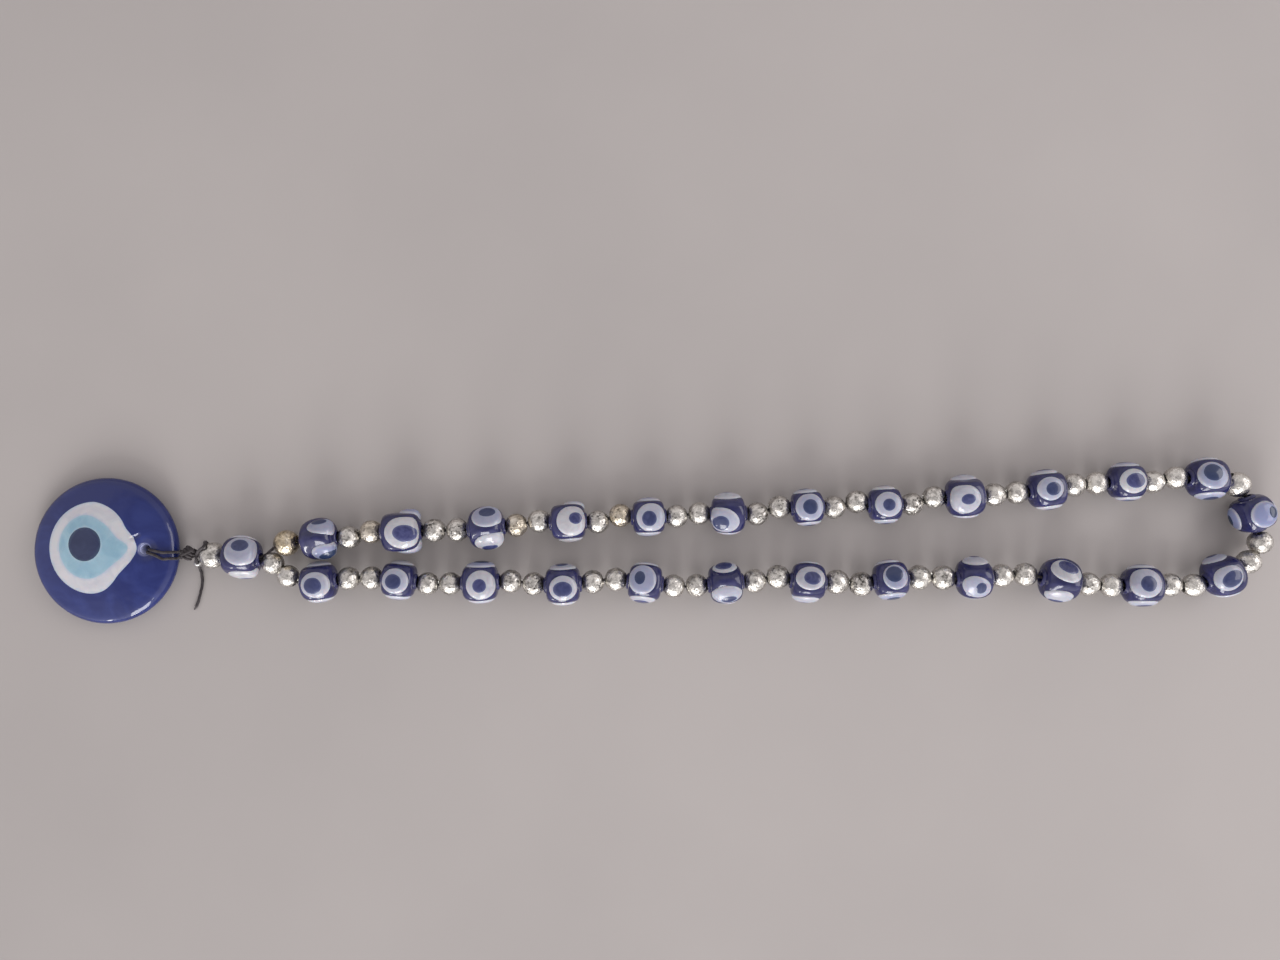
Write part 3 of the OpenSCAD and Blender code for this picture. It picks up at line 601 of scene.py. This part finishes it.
def loose_solids(points, corners):
    """The triangles of each separate solid in a mesh."""
    label = np.arange(len(points))
    while True:
        lowest = label[corners].min(1)
        before = label.copy()
        for k in range(3):
            np.minimum.at(label, corners[:, k], lowest)
        if (label == before).all():
            break
    owner = label[corners[:, 0]]
    return [corners[owner == k] for k in np.unique(owner)]


def seat_of(points, corners):
    """Middle of a bead, the axis that it is threaded on, half its length and its radius."""
    a, b, c = (points[corners[:, k]] for k in range(3))
    volume = np.einsum("ij,ij->i", a, np.cross(b, c))
    middle = (volume[:, None] * (a + b + c)).sum(0) / 4 / volume.sum()
    a, b, c = a - middle, b - middle, c - middle
    volume = np.einsum("ij,ij->i", a, np.cross(b, c))
    total = a + b + c
    spread_of = sum(np.einsum("i,ij,ik->jk", volume, q, q) for q in (a, b, c, total))
    axis = np.linalg.eigh(spread_of)[1][:, 0]
    used = points[np.unique(corners)] - middle
    along = used @ axis
    out = np.linalg.norm(used - np.outer(along, axis), axis=1)
    return Vector(middle), Vector(axis), float(np.abs(along).max()), float(out.max())


def seat_matrix(middle, run, roll=0.0):
    """Places a shape drawn along X on its thread, with Z up and then rolled to the left."""
    run = run.normalized()
    left = Vector((0, 0, 1)).cross(run).normalized()
    up = run.cross(left)
    turned = Matrix((run, left, up)).transposed() @ Matrix.Rotation(-math.radians(roll), 3, "X")
    return Matrix.Translation(middle) @ turned.to_4x4()


def body_reach(direction):
    """How far a bead's body reaches: a ball cut flat on six sides, with its edges melted round."""
    x, y, z = (abs(c) for c in direction)
    total = (x / bead_end) ** bead_soften + (y / bead_flat) ** bead_soften
    total += (z / bead_flat) ** bead_soften + (1 / bead_round) ** bead_soften
    return total ** (-1 / bead_soften)


def body_height(u, v):
    """Height of a bead's body over a place on one of its sides."""
    low, high = 0.0, bead_round
    for _ in range(16):
        middle = (low + high) / 2
        place = Vector((u, v, middle))
        if place.length < body_reach(place.normalized()):
            low = middle
        else:
            high = middle
    return low


def lathe_faces(rings, steps, first=0, closed=False):
    """Faces between rings of points, each ring one after another."""
    made = []
    for i in range(rings if closed else rings - 1):
        here, there = first + i * steps, first + (i + 1) % rings * steps
        for k in range(steps):
            after = (k + 1) % steps
            made.append((here + k, here + after, there + after, there + k))
    return made


def eye_cap(side, white, part, seed, steps=36, rings=11):
    """A melted drop on one side of a bead, its white or the dot on that: points, faces, rim."""
    facing = Matrix.Rotation(math.radians(90 * side), 3, "X")
    shift_u, shift_v, size_u, size_v = part[:4]
    wide_u, wide_v = white[2] * cap_spread, white[3] * cap_spread
    part_turn, white_turn = (math.radians(p[4]) if len(p) > 4 else 0.0 for p in (part, white))
    points = []
    rim_shares = []
    is_dot = part is not white
    if not is_dot:
        size_u, size_v = wide_u, wide_v
    for ring in range(rings + 1):
        share = math.sin(math.pi / 2 * ring / rings) if ring else 0.0
        for step in range(steps if ring else 1):
            turn = math.tau * step / steps
            strays = noise.noise(Vector((math.cos(turn), math.sin(turn), 7.3 * seed)))
            reach = share / 2 * (1 + stray * strays)
            out_u = reach * size_u * math.cos(turn)
            out_v = reach * size_v * math.sin(turn)
            u = shift_u + out_u * math.cos(part_turn) - out_v * math.sin(part_turn)
            v = shift_v + out_u * math.sin(part_turn) + out_v * math.cos(part_turn)
            if is_dot:
                u += white[0]
                v += white[1]
            off_u, off_v = u - white[0], v - white[1]
            in_white = min(1.0, math.hypot(
                2 * (off_u * math.cos(white_turn) + off_v * math.sin(white_turn)) / wide_u,
                2 * (off_v * math.cos(white_turn) - off_u * math.sin(white_turn)) / wide_v,
            ))
            rise = edge_rise * math.sqrt(1 - in_white ** 6) + dome_rise * (1 - in_white ** 2)
            if is_dot:
                rise += dot_rise * math.sqrt(1 - share ** 5) - dot_sink
            else:
                rise -= white_sink * share ** 14
            # Past the flat of the side, a drop runs over the body's shoulder
            inner_u, inner_v = (min(cap_flat, max(-cap_flat, c)) for c in (u, v))
            sunk_by = cap_sink * max(0.0, abs(u) - cap_flat)
            way = Vector((u, v, body_height(inner_u, inner_v) - sunk_by)).normalized()
            points.append(facing @ (way * (body_reach(way) + rise)))
            rim_shares.append(max(0.0, share - rim_start) / (1 - rim_start))
    faces = [(0, 1 + k, 1 + (k + 1) % steps) for k in range(steps)]
    faces += [tuple(reversed(f)) for f in lathe_faces(rings, steps, first=1)]
    return points, faces, rim_shares


bead_seats = []
far_bead = 14
body_steps = 64
body_rings = 36
# The rings of a body: a collar's place along and out, or an angle from the thread
profile = list(reversed(COLLAR))
for ring in range(body_rings):
    profile.append(body_tilt + (math.pi - 2 * body_tilt) * ring / (body_rings - 1))
profile += [(-x, r) for x, r in COLLAR]
for number, roll in enumerate(ROLLS, 1):
    node = f"eye_bead_{number:02d}"
    middle, axis, half, _ = seat_of(*node_mesh(node))
    # The thread runs to the right along the upper strand, down at the far end, and back
    forward = Vector((1, 0, 0)) if number < far_bead else Vector((-1, 0, 0))
    if number == far_bead:
        forward = Vector((0, -1, 0))
    run = axis if axis.dot(forward) > 0 else -axis
    size = half / collar_end
    bead_seats.append((middle, run, half))
    points = []
    for row in profile:
        for step in range(body_steps):
            turn = math.tau * step / body_steps
            if isinstance(row, tuple):
                points.append(Vector((row[0], row[1] * math.cos(turn), row[1] * math.sin(turn))))
                continue
            out = math.sin(row)
            way = Vector((math.cos(row), out * math.cos(turn), out * math.sin(turn)))
            swell = 1 + bead_swell * noise.noise(way * 1.6 + Vector((3.1 * number, 0, 0)))
            points.append(way * body_reach(way) * swell)
    faces = lathe_faces(len(profile), body_steps, closed=True)
    kinds = [0] * len(faces)
    rims = [0.0] * len(points)
    blues = [0.0] * len(points)
    for side in range(4):
        seed = 4 * number + side
        vary = [noise.noise(Vector((0.7 * seed, 2.3 * k, 1.7))) for k in range(6)]
        white = (
            common_white[0] + 0.5 * vary[0], common_white[1] + 0.3 * vary[1],
            common_white[2] + 0.7 * vary[2], common_white[3] + 0.5 * vary[3],
        )
        dot = (
            common_dot[0] + 0.6 * vary[4], common_dot[1] + 0.6 * vary[5],
            common_dot[2] + 0.6 * vary[1], common_dot[3] + 0.6 * vary[0],
        )
        white, dot = EYES.get((number, side), (white, dot))
        blue = BLUE_EYES.get((number, side), min(1.0, max(0.0, 0.35 + 0.9 * vary[2])))
        for part, kind in ((white, 1), (dot, 2)):
            cap_points, cap_faces, cap_rim = eye_cap(side, white, part, seed)
            add_shape(points, faces, cap_points, cap_faces)
            kinds += [kind] * len(cap_faces)
            rims += cap_rim
            blues += [blue] * len(cap_points)
    seat = seat_matrix(middle, run, roll) @ Matrix.Scale(size, 4)
    add_piece(
        f"bead_{number:02d}", [seat @ p for p in points], faces,
        [bead_glass, bead_white, bead_dot], [node], kinds, sharp=60,
        shares={"eye_rim": rims, "eye_blue": blues},
    )

# Silver balls
# They are cast hollow and plated, with a rough skin of pits and dents. Skin oil and air have left
# the pits dark, and a few balls have gone golden where the plating is thin.
pitted, pitted_in, pitted_out = new_effect(
    "pitted_metal",
    [
        ("Bright", "NodeSocketColor", (0.8, 0.8, 0.8, 1)),
        ("Tarnish", "NodeSocketColor", (0.2, 0.2, 0.2, 1)),
        ("Golden", "NodeSocketColor", (0.8, 0.6, 0.3, 1)),
        ("Golden Share", "NodeSocketFloat", 0.0),
        ("Tarnish Share", "NodeSocketFloat", 0.7),
        ("Pit Depth", "NodeSocketFloat", 0.6),
    ],
)
pitted_place = add_node(pitted, "ShaderNodeTexCoord").outputs["Object"]
pits = add_node(pitted, "ShaderNodeTexVoronoi", {
    "Vector": pitted_place, "Scale": 1500.0, "Randomness": 1.0,
}, feature="SMOOTH_F1")
crust = grain(pitted, pitted_place, 900.0, 8.0, Roughness=0.7)
patches = grain(pitted, pitted_place, 380.0, 4.0, Roughness=0.6)
specks = grain(pitted, pitted_place, 1500.0, 3.0, Roughness=0.6)
patchy = spread(pitted, patches, 0.36, 0.60, 0.25, 1.0)
patchy = work_out(pitted, "MULTIPLY", patchy, pitted_in["Tarnish Share"])
dirty = work_out(pitted, "MULTIPLY", spread(pitted, crust, 0.42, 0.60), patchy)
speck = work_out(pitted, "MULTIPLY", spread(pitted, specks, 0.56, 0.62), patchy)
golden = spread(pitted, patches, 0.35, 0.6, 0.5, 1.0)
golden = work_out(pitted, "MULTIPLY", golden, pitted_in["Golden Share"])
plated = blend_colours(pitted, golden, pitted_in["Bright"], pitted_in["Golden"])
tarnished = blend_colours(pitted, dirty, plated, pitted_in["Tarnish"])
rough = work_out(pitted, "ADD", crust, pits.outputs["Distance"])
feed(pitted_out, {
    "Colour": blend_colours(pitted, speck, tarnished, (0.02, 0.018, 0.018, 1)),
    "Roughness": spread(pitted, dirty, 0.0, 1.0, 0.24, 0.6),
    "Normal": relief(pitted, pitted_in["Pit Depth"], 0.00025, rough),
})

silver_plate, silver_tree, silver_shader = new_material("silver_plate", Metallic=1.0)
add_look(silver_tree, silver_shader, pitted, {
    "Bright": (0.78, 0.755, 0.71, 1), "Tarnish": (0.085, 0.072, 0.066, 1),
    "Golden": (0.74, 0.60, 0.38, 1), "Golden Share": point_value(silver_tree, "golden"),
    "Tarnish Share": point_value(silver_tree, "tarnish"),
})

ball_bore = 1.2
dent_size = 1.0
dent_depth = 0.08
dent_reach = 0.55
rubbed_off = 0.006
ball_longer = 0.3
ball_gap = 0.1
golden_near = 2.5
ball_rings = 26
ball_steps = 40


def dented_ball(middle, run, half, radius):
    """Points and faces of one ball: a round barrel with hammered dents and a rolled bore edge."""
    arc = (radius ** 2 - ball_bore ** 2 - half ** 2) / (2 * (radius - ball_bore))
    arc_r = radius - arc
    far = math.asin(min(1.0, half / arc_r))
    rows = [(-half * 0.55, ball_bore * 0.93), (-half * 0.9, ball_bore * 0.95)]
    for ring in range(ball_rings + 1):
        tilt = -far + 2 * far * ring / ball_rings
        rows.append((arc_r * math.sin(tilt), arc + arc_r * math.cos(tilt)))
    rows += [(half * 0.9, ball_bore * 0.95), (half * 0.55, ball_bore * 0.93)]
    seat = seat_matrix(middle, run)
    points = []
    for x, out in rows:
        for step in range(ball_steps):
            turn = math.tau * step / ball_steps
            place = seat @ Vector((x, out * math.cos(turn), out * math.sin(turn)))
            near = noise.voronoi(place / dent_size)[0][0]
            dent = dent_depth * max(0.0, 1 - near / dent_reach) ** 1.5 if out > ball_bore else 0.0
            points.append(place - (place - middle).normalized() * dent)
    return points, lathe_faces(len(rows), ball_steps, closed=True)


# How golden some of the balls are, each named by a place near it
GOLDEN = {(-86, 0): 0.9, (-67, 4): 0.4, (-62, 4): 0.7, (-31, 4): 0.5, (-5, 5): 0.6, (-75, 2): 0.35}
BALLS = {"silver_beads_upper": "balls_upper", "silver_beads_lower": "balls_lower"}
ball_seats = {}
ball_sizes = {}
for node in BALLS:
    cad_points, cad_corners = node_mesh(node)
    found = [seat_of(cad_points, corners) for corners in loose_solids(cad_points, cad_corners)]
    ball_seats[node] = [seat[:3] for seat in found]
    ball_sizes[node] = [seat[3] for seat in found]
seat_ends = []
for middle, axis, half in sum(ball_seats.values(), bead_seats):
    seat_ends += [(middle + axis * half, middle), (middle - axis * half, middle)]
for node, name in BALLS.items():
    points, faces, gold, tarnish = [], [], [], []
    for (middle, axis, half), radius in zip(ball_seats[node], ball_sizes[node]):
        # Each is a little longer than its solid, where the next one on the thread leaves room
        room = min(
            (end - middle - axis * half * way).length
            for end, owner in seat_ends for way in (1, -1) if (owner - middle).length > 0.1
        )
        longer = half + min(ball_longer, max(0.0, room / 2 - ball_gap))
        ball_points, ball_faces = dented_ball(middle, axis, longer, radius - rubbed_off)
        add_shape(points, faces, ball_points, ball_faces)
        share = max([0.0] + [
            value for place, value in GOLDEN.items() if math.dist(middle[:2], place) < golden_near
        ])
        gold += [share] * len(ball_points)
        # The balls at the far end are cleaner
        worn_share = 0.75 + 0.5 * noise.noise(middle * 0.37) - (0.25 if middle.x > 100 else 0.0)
        tarnish += [worn_share * (1 - 0.3 * share)] * len(ball_points)
    add_piece(
        name, points, faces, [silver_plate], [node],
        shares={"golden": gold, "tarnish": tarnish},
    )

# Thread
# Black polyester twist goes out from the knot through the first ball and the lead bead, round the
# whole loop and back beside itself. It shows between the balls.
thread_d = 0.7
black_twist, twist_tree, twist_shader = new_material(
    "black_twist", Sheen_Weight=0.08, Sheen_Roughness=0.5, Specular_IOR_Level=0.25,
)
twist_place = add_node(twist_tree, "ShaderNodeTexCoord").outputs["Object"]
fuzz = grain(twist_tree, twist_place, 5200.0, 4.0, Roughness=0.7)
wear = spread(twist_tree, grain(twist_tree, twist_place, 700.0, 3.0), 0.42, 0.68)
worn = blend_colours(twist_tree, wear, (0.030, 0.025, 0.028, 1), (0.064, 0.056, 0.060, 1))
feed(twist_shader, {
    "Base Color": worn, "Roughness": spread(twist_tree, fuzz, 0.3, 0.7, 0.45, 0.8),
    "Normal": relief(twist_tree, 0.7, 0.00008, fuzz),
})


def smooth_path(points, step):
    """A smooth curve through the points, with its own points a step apart."""
    points = [Vector(p) for p in points]
    ends = [2 * points[0] - points[1], *points, 2 * points[-1] - points[-2]]
    made = []
    for a, b, c, d in zip(ends, ends[1:], ends[2:], ends[3:]):
        length = (c - b).length
        # Tangents take the legs' lengths into account, so that short legs don't loop
        before, after = (b - a).length + 1e-6, (d - c).length + 1e-6
        start = ((b - a) / before + (c - b) / (length + 1e-6)).normalized() * length
        finish = ((c - b) / (length + 1e-6) + (d - c) / after).normalized() * length
        count = max(1, round(length / step))
        for k in range(count):
            t = k / count
            made.append(
                b * (2 * t ** 3 - 3 * t ** 2 + 1) + start * (t ** 3 - 2 * t ** 2 + t)
                + c * (3 * t ** 2 - 2 * t ** 3) + finish * (t ** 3 - t ** 2)
            )
    return made + [points[-1]]


def twisted(path, width=thread_d, pitch=1.7, tip=0.0):
    """Points and faces of a three-ply thread along a path. Its far end tapers over the tip."""
    sides = 12
    side = (path[1] - path[0]).orthogonal().normalized()
    gone = 0.0
    points = []
    total = sum((b - a).length for a, b in zip(path, path[1:]))
    for i, place in enumerate(path):
        way = (path[min(i + 1, len(path) - 1)] - path[max(i - 1, 0)]).normalized()
        side = (side - side.dot(way) * way).normalized()
        other = way.cross(side)
        if i:
            gone += (place - path[i - 1]).length
        thin = 1.0 if not tip or total - gone > tip else 0.45 + 0.55 * (total - gone) / tip
        for k in range(sides):
            turn = math.tau * k / sides
            ply = 0.78 + 0.22 * abs(math.cos(1.5 * (turn - math.tau * gone / pitch / 3)))
            reach = width / 2 * ply * thin
            points.append(place + reach * (math.cos(turn) * side + math.sin(turn) * other))
    faces = lathe_faces(len(path), sides)
    faces.append(tuple(reversed(range(sides))))
    faces.append(tuple(range(len(points) - sides, len(points))))
    return points, faces


def next_along(start, seats):
    """The seats in the order in which the thread meets them, from its last place."""
    left = list(seats)
    ordered = []
    while left:
        nearest = min(left, key=lambda seat: (seat[0] - start).length)
        left.remove(nearest)
        ordered.append(nearest)
        start = nearest[0]
    return ordered


knot_at = Vector((-110.42, -3.02, 4.03))
thread_sag = Vector((0, 0, -0.3))
ball_hang = Vector((0, 0, 0.35))
lead_ball = min(ball_seats["silver_beads_upper"], key=lambda seat: seat[0].x)
lead_bead = bead_seats[0]
upper_balls = [seat for seat in ball_seats["silver_beads_upper"] if seat is not lead_ball]
split_at = lead_bead[0] + lead_bead[1] * lead_bead[2]
far_seat = bead_seats[far_bead - 1]
upper = next_along(split_at, upper_balls + bead_seats[1:far_bead - 1])
lower = next_along(far_seat[0], ball_seats["silver_beads_lower"] + bead_seats[far_bead:])
apart = Vector((0, thread_d / 2 + 0.03, 0))
knot_edge = knot_at + Vector((1.95, 0, 0.2))


def through(seat, here):
    """Where the thread enters and leaves a bead or ball that it reaches from here."""
    middle, axis, half = seat
    run = axis if axis.dot(middle - here) > 0 else -axis
    lift = thread_sag if any(seat is bead for bead in bead_seats) else ball_hang
    return [middle + lift - run * half * 0.8, middle + lift + run * half * 0.8]


leads = [knot_edge, lead_ball[0] + ball_hang, lead_bead[0] + thread_sag, split_at + thread_sag]
route = [place + apart for place in leads[:3]] + [leads[3] + apart / 2]
for seat in upper + [far_seat] + lower:
    route += through(seat, route[-1])
route += [place - apart for place in reversed(leads)]
points, faces = twisted(smooth_path(route, 0.25))
add_piece("loop_thread", points, faces, [black_twist], ["thread"], sharp=75)

# Tie
# The same twist goes twice through the disc's hole and round its rim, and is drawn up against it.
tie_off = thread_d / 2 + 0.06
tie_points = []
tie_faces = []
dimple_z = face_height(hole_at[0] + hole_r + 0.01, hole_at[1])
tie_end_x = disc_r + 1.2
for side in (1, -1):
    hole_y = hole_at[1] - 0.40 - side * 0.36
    rim_y = hole_at[1] - 1.45 - side * 0.75
    knot_y = hole_at[1] - 1.1 - side * 0.6
    mid_y = (hole_y + rim_y) / 2
    hole_x = hole_at[0] + 0.46 - side * 0.26
    around = [(math.radians(t), rim_y) for t in (-8, -31, -54, -77)]
    over = [(math.radians(t), rim_y) for t in (69, 48, 27)]
    reach = rim_r + tie_off + 0.05
    strand = [(tie_end_x, knot_y, 2.3)]
    strand += [(rim_x + reach * math.cos(t), y, rim_z + reach * math.sin(t)) for t, y in around]
    strand += [
        (rim_x - 1.4, mid_y, -tie_off),
        (hole_x + 0.7, hole_y, -tie_off - 0.06),
        (hole_x + 0.2, hole_y, -0.15),
        (hole_x, hole_y, 0.8),
        (hole_x, hole_y, 3.2),
        (hole_x, hole_y, dimple_z - 0.4),
        (hole_x + 0.45, hole_y, dimple_z + tie_off),
    ]
    for x, y in ((12.6, (hole_y + mid_y) / 2), (13.6, mid_y), (14.8, rim_y)):
        strand.append((x, y, face_height(x, y) + tie_off + 0.05))
    strand += [(rim_x + reach * math.cos(t), y, rim_z + reach * math.sin(t)) for t, y in over]
    strand.append((tie_end_x, knot_y, 3.5))
    add_shape(tie_points, tie_faces, *twisted(smooth_path([on_disc(p) for p in strand], 0.15)))
add_piece("disc_tie", tie_points, tie_faces, [black_twist], ["tie_loop"], sharp=75)

# Knot
# It is wound tight: turns of the twist lie side by side aslant, and one end crosses over them.
knot_lean = math.radians(50)
knot_way = Vector((math.cos(knot_lean), math.sin(knot_lean), 0))
knot_side = Vector((-math.sin(knot_lean), math.cos(knot_lean), 0))
knot_up = Vector((0, 0, 1))
wound = []
wound_turns = 3.6
wound_steps = 72
wound_length = 2.7
for i in range(wound_steps + 1):
    share = i / wound_steps
    turn = math.tau * wound_turns * share
    reach = 1.25 - 0.30 * abs(2 * share - 1) ** 3
    wound.append(
        knot_at + knot_way * (wound_length * (share - 0.5))
        + (knot_side * math.cos(turn) + knot_up * math.sin(turn)) * reach
    )
crossing = (
    (-1.45, 0.5, 0.5), (-0.95, 0.55, 1.25), (-0.2, 0.15, 1.50),
    (0.7, -0.25, 1.40), (1.45, -0.5, 0.9), (1.50, -0.7, 0.1),
)
crossed = [knot_at + knot_way * a + knot_side * b + knot_up * c for a, b, c in crossing]
core = [knot_at + knot_way * a for a in (-1.2, -0.6, 0.0, 0.6, 1.2)]
knot_points = []
knot_faces = []
for path, width, pitch in ((wound, 0.78, 1.7), (crossed, 0.7, 1.7), (core, 1.7, 6.0)):
    add_shape(knot_points, knot_faces, *twisted(smooth_path(path, 0.12), width, pitch))
add_piece("tie_knot", knot_points, knot_faces, [black_twist], ["knot"], sharp=75)

# Free end
# The cut end of the twist turns over the first ball's shoulder, comes down past the knot and lies
# on the table. These points are in radii of that ball from its middle, as its solid has them.
TAIL_TURN = (
    (-1.20, 0.16, -0.97), (-0.70, 0.64, -0.76), (-0.62, 0.93, -0.40), (-0.54, 1.02, 0.17),
    (-0.30, 0.77, 0.86), (-0.68, 0.47, 0.73), (-1.08, 0.10, 0.32), (-1.16, -0.25, 0.27),
    (-1.30, -0.50, -0.16), (-1.35, -0.53, -0.37), (-1.43, -0.69, -0.84),
)
# Then in millimetres from the knot's middle, at its height above the table
TAIL_LYING = (
    (1.14, -3.60, 1.05), (1.38, -4.95, 0.53), (1.56, -7.50, 0.39), (1.05, -10.32, 0.39),
    (0.27, -12.90, 0.39), (-0.36, -14.01, 0.39),
)
tail = [knot_at + Vector((1.26, -1.05, -1.14))]
lead_ball_r = 1.12 * 2.8
tail += [lead_ball[0] + lead_ball_r * Vector(p) for p in TAIL_TURN]
tail += [Vector((knot_at.x + x, knot_at.y + y, z)) for x, y, z in TAIL_LYING]
points, faces = twisted(smooth_path(tail, 0.15), tip=0.9)
add_piece("free_end", points, faces, [black_twist], ["thread_tail"], sharp=75)

# Crimp
# A tiny ring of soft bright metal is pinched on to the free end, to keep the twist from opening.
crimp_metal, crimp_tree, crimp_shader = new_material("crimp_metal", Metallic=1.0)
add_look(crimp_tree, crimp_shader, pitted, {
    "Bright": (0.86, 0.86, 0.85, 1), "Tarnish": (0.45, 0.44, 0.43, 1), "Pit Depth": 0.12,
})
crimp_from, crimp_to = tail[10], tail[11]
crimp_seat = seat_matrix((crimp_from + crimp_to) / 2, crimp_to - crimp_from)
# Its outline, from the bore over the round outside and back: (along, out)
CRIMP = (
    (-0.60, 0.42), (-0.70, 0.50), (-0.70, 0.66), (-0.60, 0.82), (-0.40, 0.92), (0.0, 0.95),
    (0.40, 0.92), (0.60, 0.82), (0.70, 0.66), (0.70, 0.50), (0.60, 0.42), (0.0, 0.40),
)
crimp_steps = 28
points = []
for x, out in CRIMP:
    for step in range(crimp_steps):
        turn = math.tau * step / crimp_steps
        pinch = 1 - 0.10 * abs(math.cos(turn)) * (1 - abs(x))
        points.append(crimp_seat @ Vector((x, out * pinch * math.cos(turn), out * math.sin(turn))))
add_piece(
    "end_crimp", points, lathe_faces(len(CRIMP), crimp_steps, closed=True), [crimp_metal],
    ["crimp"],
)

# Table
# A pale warm grey top, with a dull lacquer that is a little uneven in its shade. It is as plain as
# the one in the photograph, and far wider than the pendant.
table_mesh = bpy.data.meshes.new("table")
table_half = 2.5
table_corners = [(-1, -1), (1, -1), (1, 1), (-1, 1)]
table_mesh.from_pydata(
    [(table_half * x, table_half * y, 0) for x, y in table_corners], [], [(0, 1, 2, 3)],
)
table = bpy.data.objects.new("table", table_mesh)
bpy.context.scene.collection.objects.link(table)
table_top, table_tree, table_shader = new_material("table_top", Specular_IOR_Level=0.12)
table_place = add_node(table_tree, "ShaderNodeTexCoord").outputs["Object"]
clouds = grain(table_tree, table_place, 9.0, 4.0)
lacquer = blend_colours(
    table_tree, spread(table_tree, clouds, 0.35, 0.65),
    (0.382, 0.357, 0.350, 1), (0.412, 0.385, 0.376, 1),
)
feed(table_shader, {
    "Base Color": lacquer, "Roughness": spread(table_tree, clouds, 0.3, 0.7, 0.72, 0.82),
})
table_mesh.materials.append(table_top)

# Light
# A window in two panes low beyond the near side of the table, a narrow one to its left, and a pale
# wall on the right. The rest of the room is pale too, and darker overhead.
world = bpy.context.scene.world or bpy.data.worlds.new("room")
bpy.context.scene.world = world
world.use_nodes = True
room_tree = world.node_tree
room = room_tree.nodes["Background"]
room_way = add_node(room_tree, "ShaderNodeTexCoord").outputs["Generated"]
room_axes = add_node(room_tree, "ShaderNodeSeparateXYZ", {"Vector": room_way})
walls = blend_colours(
    room_tree, spread(room_tree, room_axes.outputs["Y"], -0.95, -0.4),
    (1.75, 1.72, 1.72, 1), (0.80, 0.765, 0.77, 1),
)
overhead = spread(room_tree, room_axes.outputs["Z"], 0.78, 0.93)
feed(room, {
    "Color": blend_colours(room_tree, overhead, walls, (0.44, 0.42, 0.43, 1)), "Strength": 0.93,
})


def window(name, place, width, height, power, colour):
    """A light as wide and high as a window or a wall, which faces the pendant."""
    lamp = bpy.data.lights.new(name, "AREA")
    lamp.shape = "RECTANGLE"
    lamp.size = width
    lamp.size_y = height
    lamp.energy = power
    lamp.color = colour
    made = bpy.data.objects.new(name, lamp)
    made.location = place
    made.rotation_euler = (Vector((0, 0, 0)) - Vector(place)).to_track_quat("-Z", "Y").to_euler()
    bpy.context.scene.collection.objects.link(made)


window("upper_pane", (-0.05, -1.5, 0.70), 0.62, 0.75, 14, (1.0, 0.99, 0.98))
window("lower_pane", (-0.05, -1.5, 0.14), 0.55, 0.16, 4, (1.0, 0.99, 0.98))
window("narrow_window", (-0.95, -1.6, 0.30), 0.16, 0.35, 3, (1.0, 0.98, 0.95))
window("side_wall", (0.70, 0.10, 0.42), 0.7, 0.4, 2.3, (1.0, 0.97, 0.97))

# Camera
# It looks straight down from where the photograph was taken.
lens = bpy.data.cameras.new("camera")
lens.sensor_width = 36
lens.lens = 27.19
lens.clip_start = 0.01
camera = bpy.data.objects.new("camera", lens)
camera.location = (-0.00265, 0.01442, 0.235)
bpy.context.scene.collection.objects.link(camera)
bpy.context.scene.camera = camera
bpy.context.scene.view_settings.view_transform = "Standard"
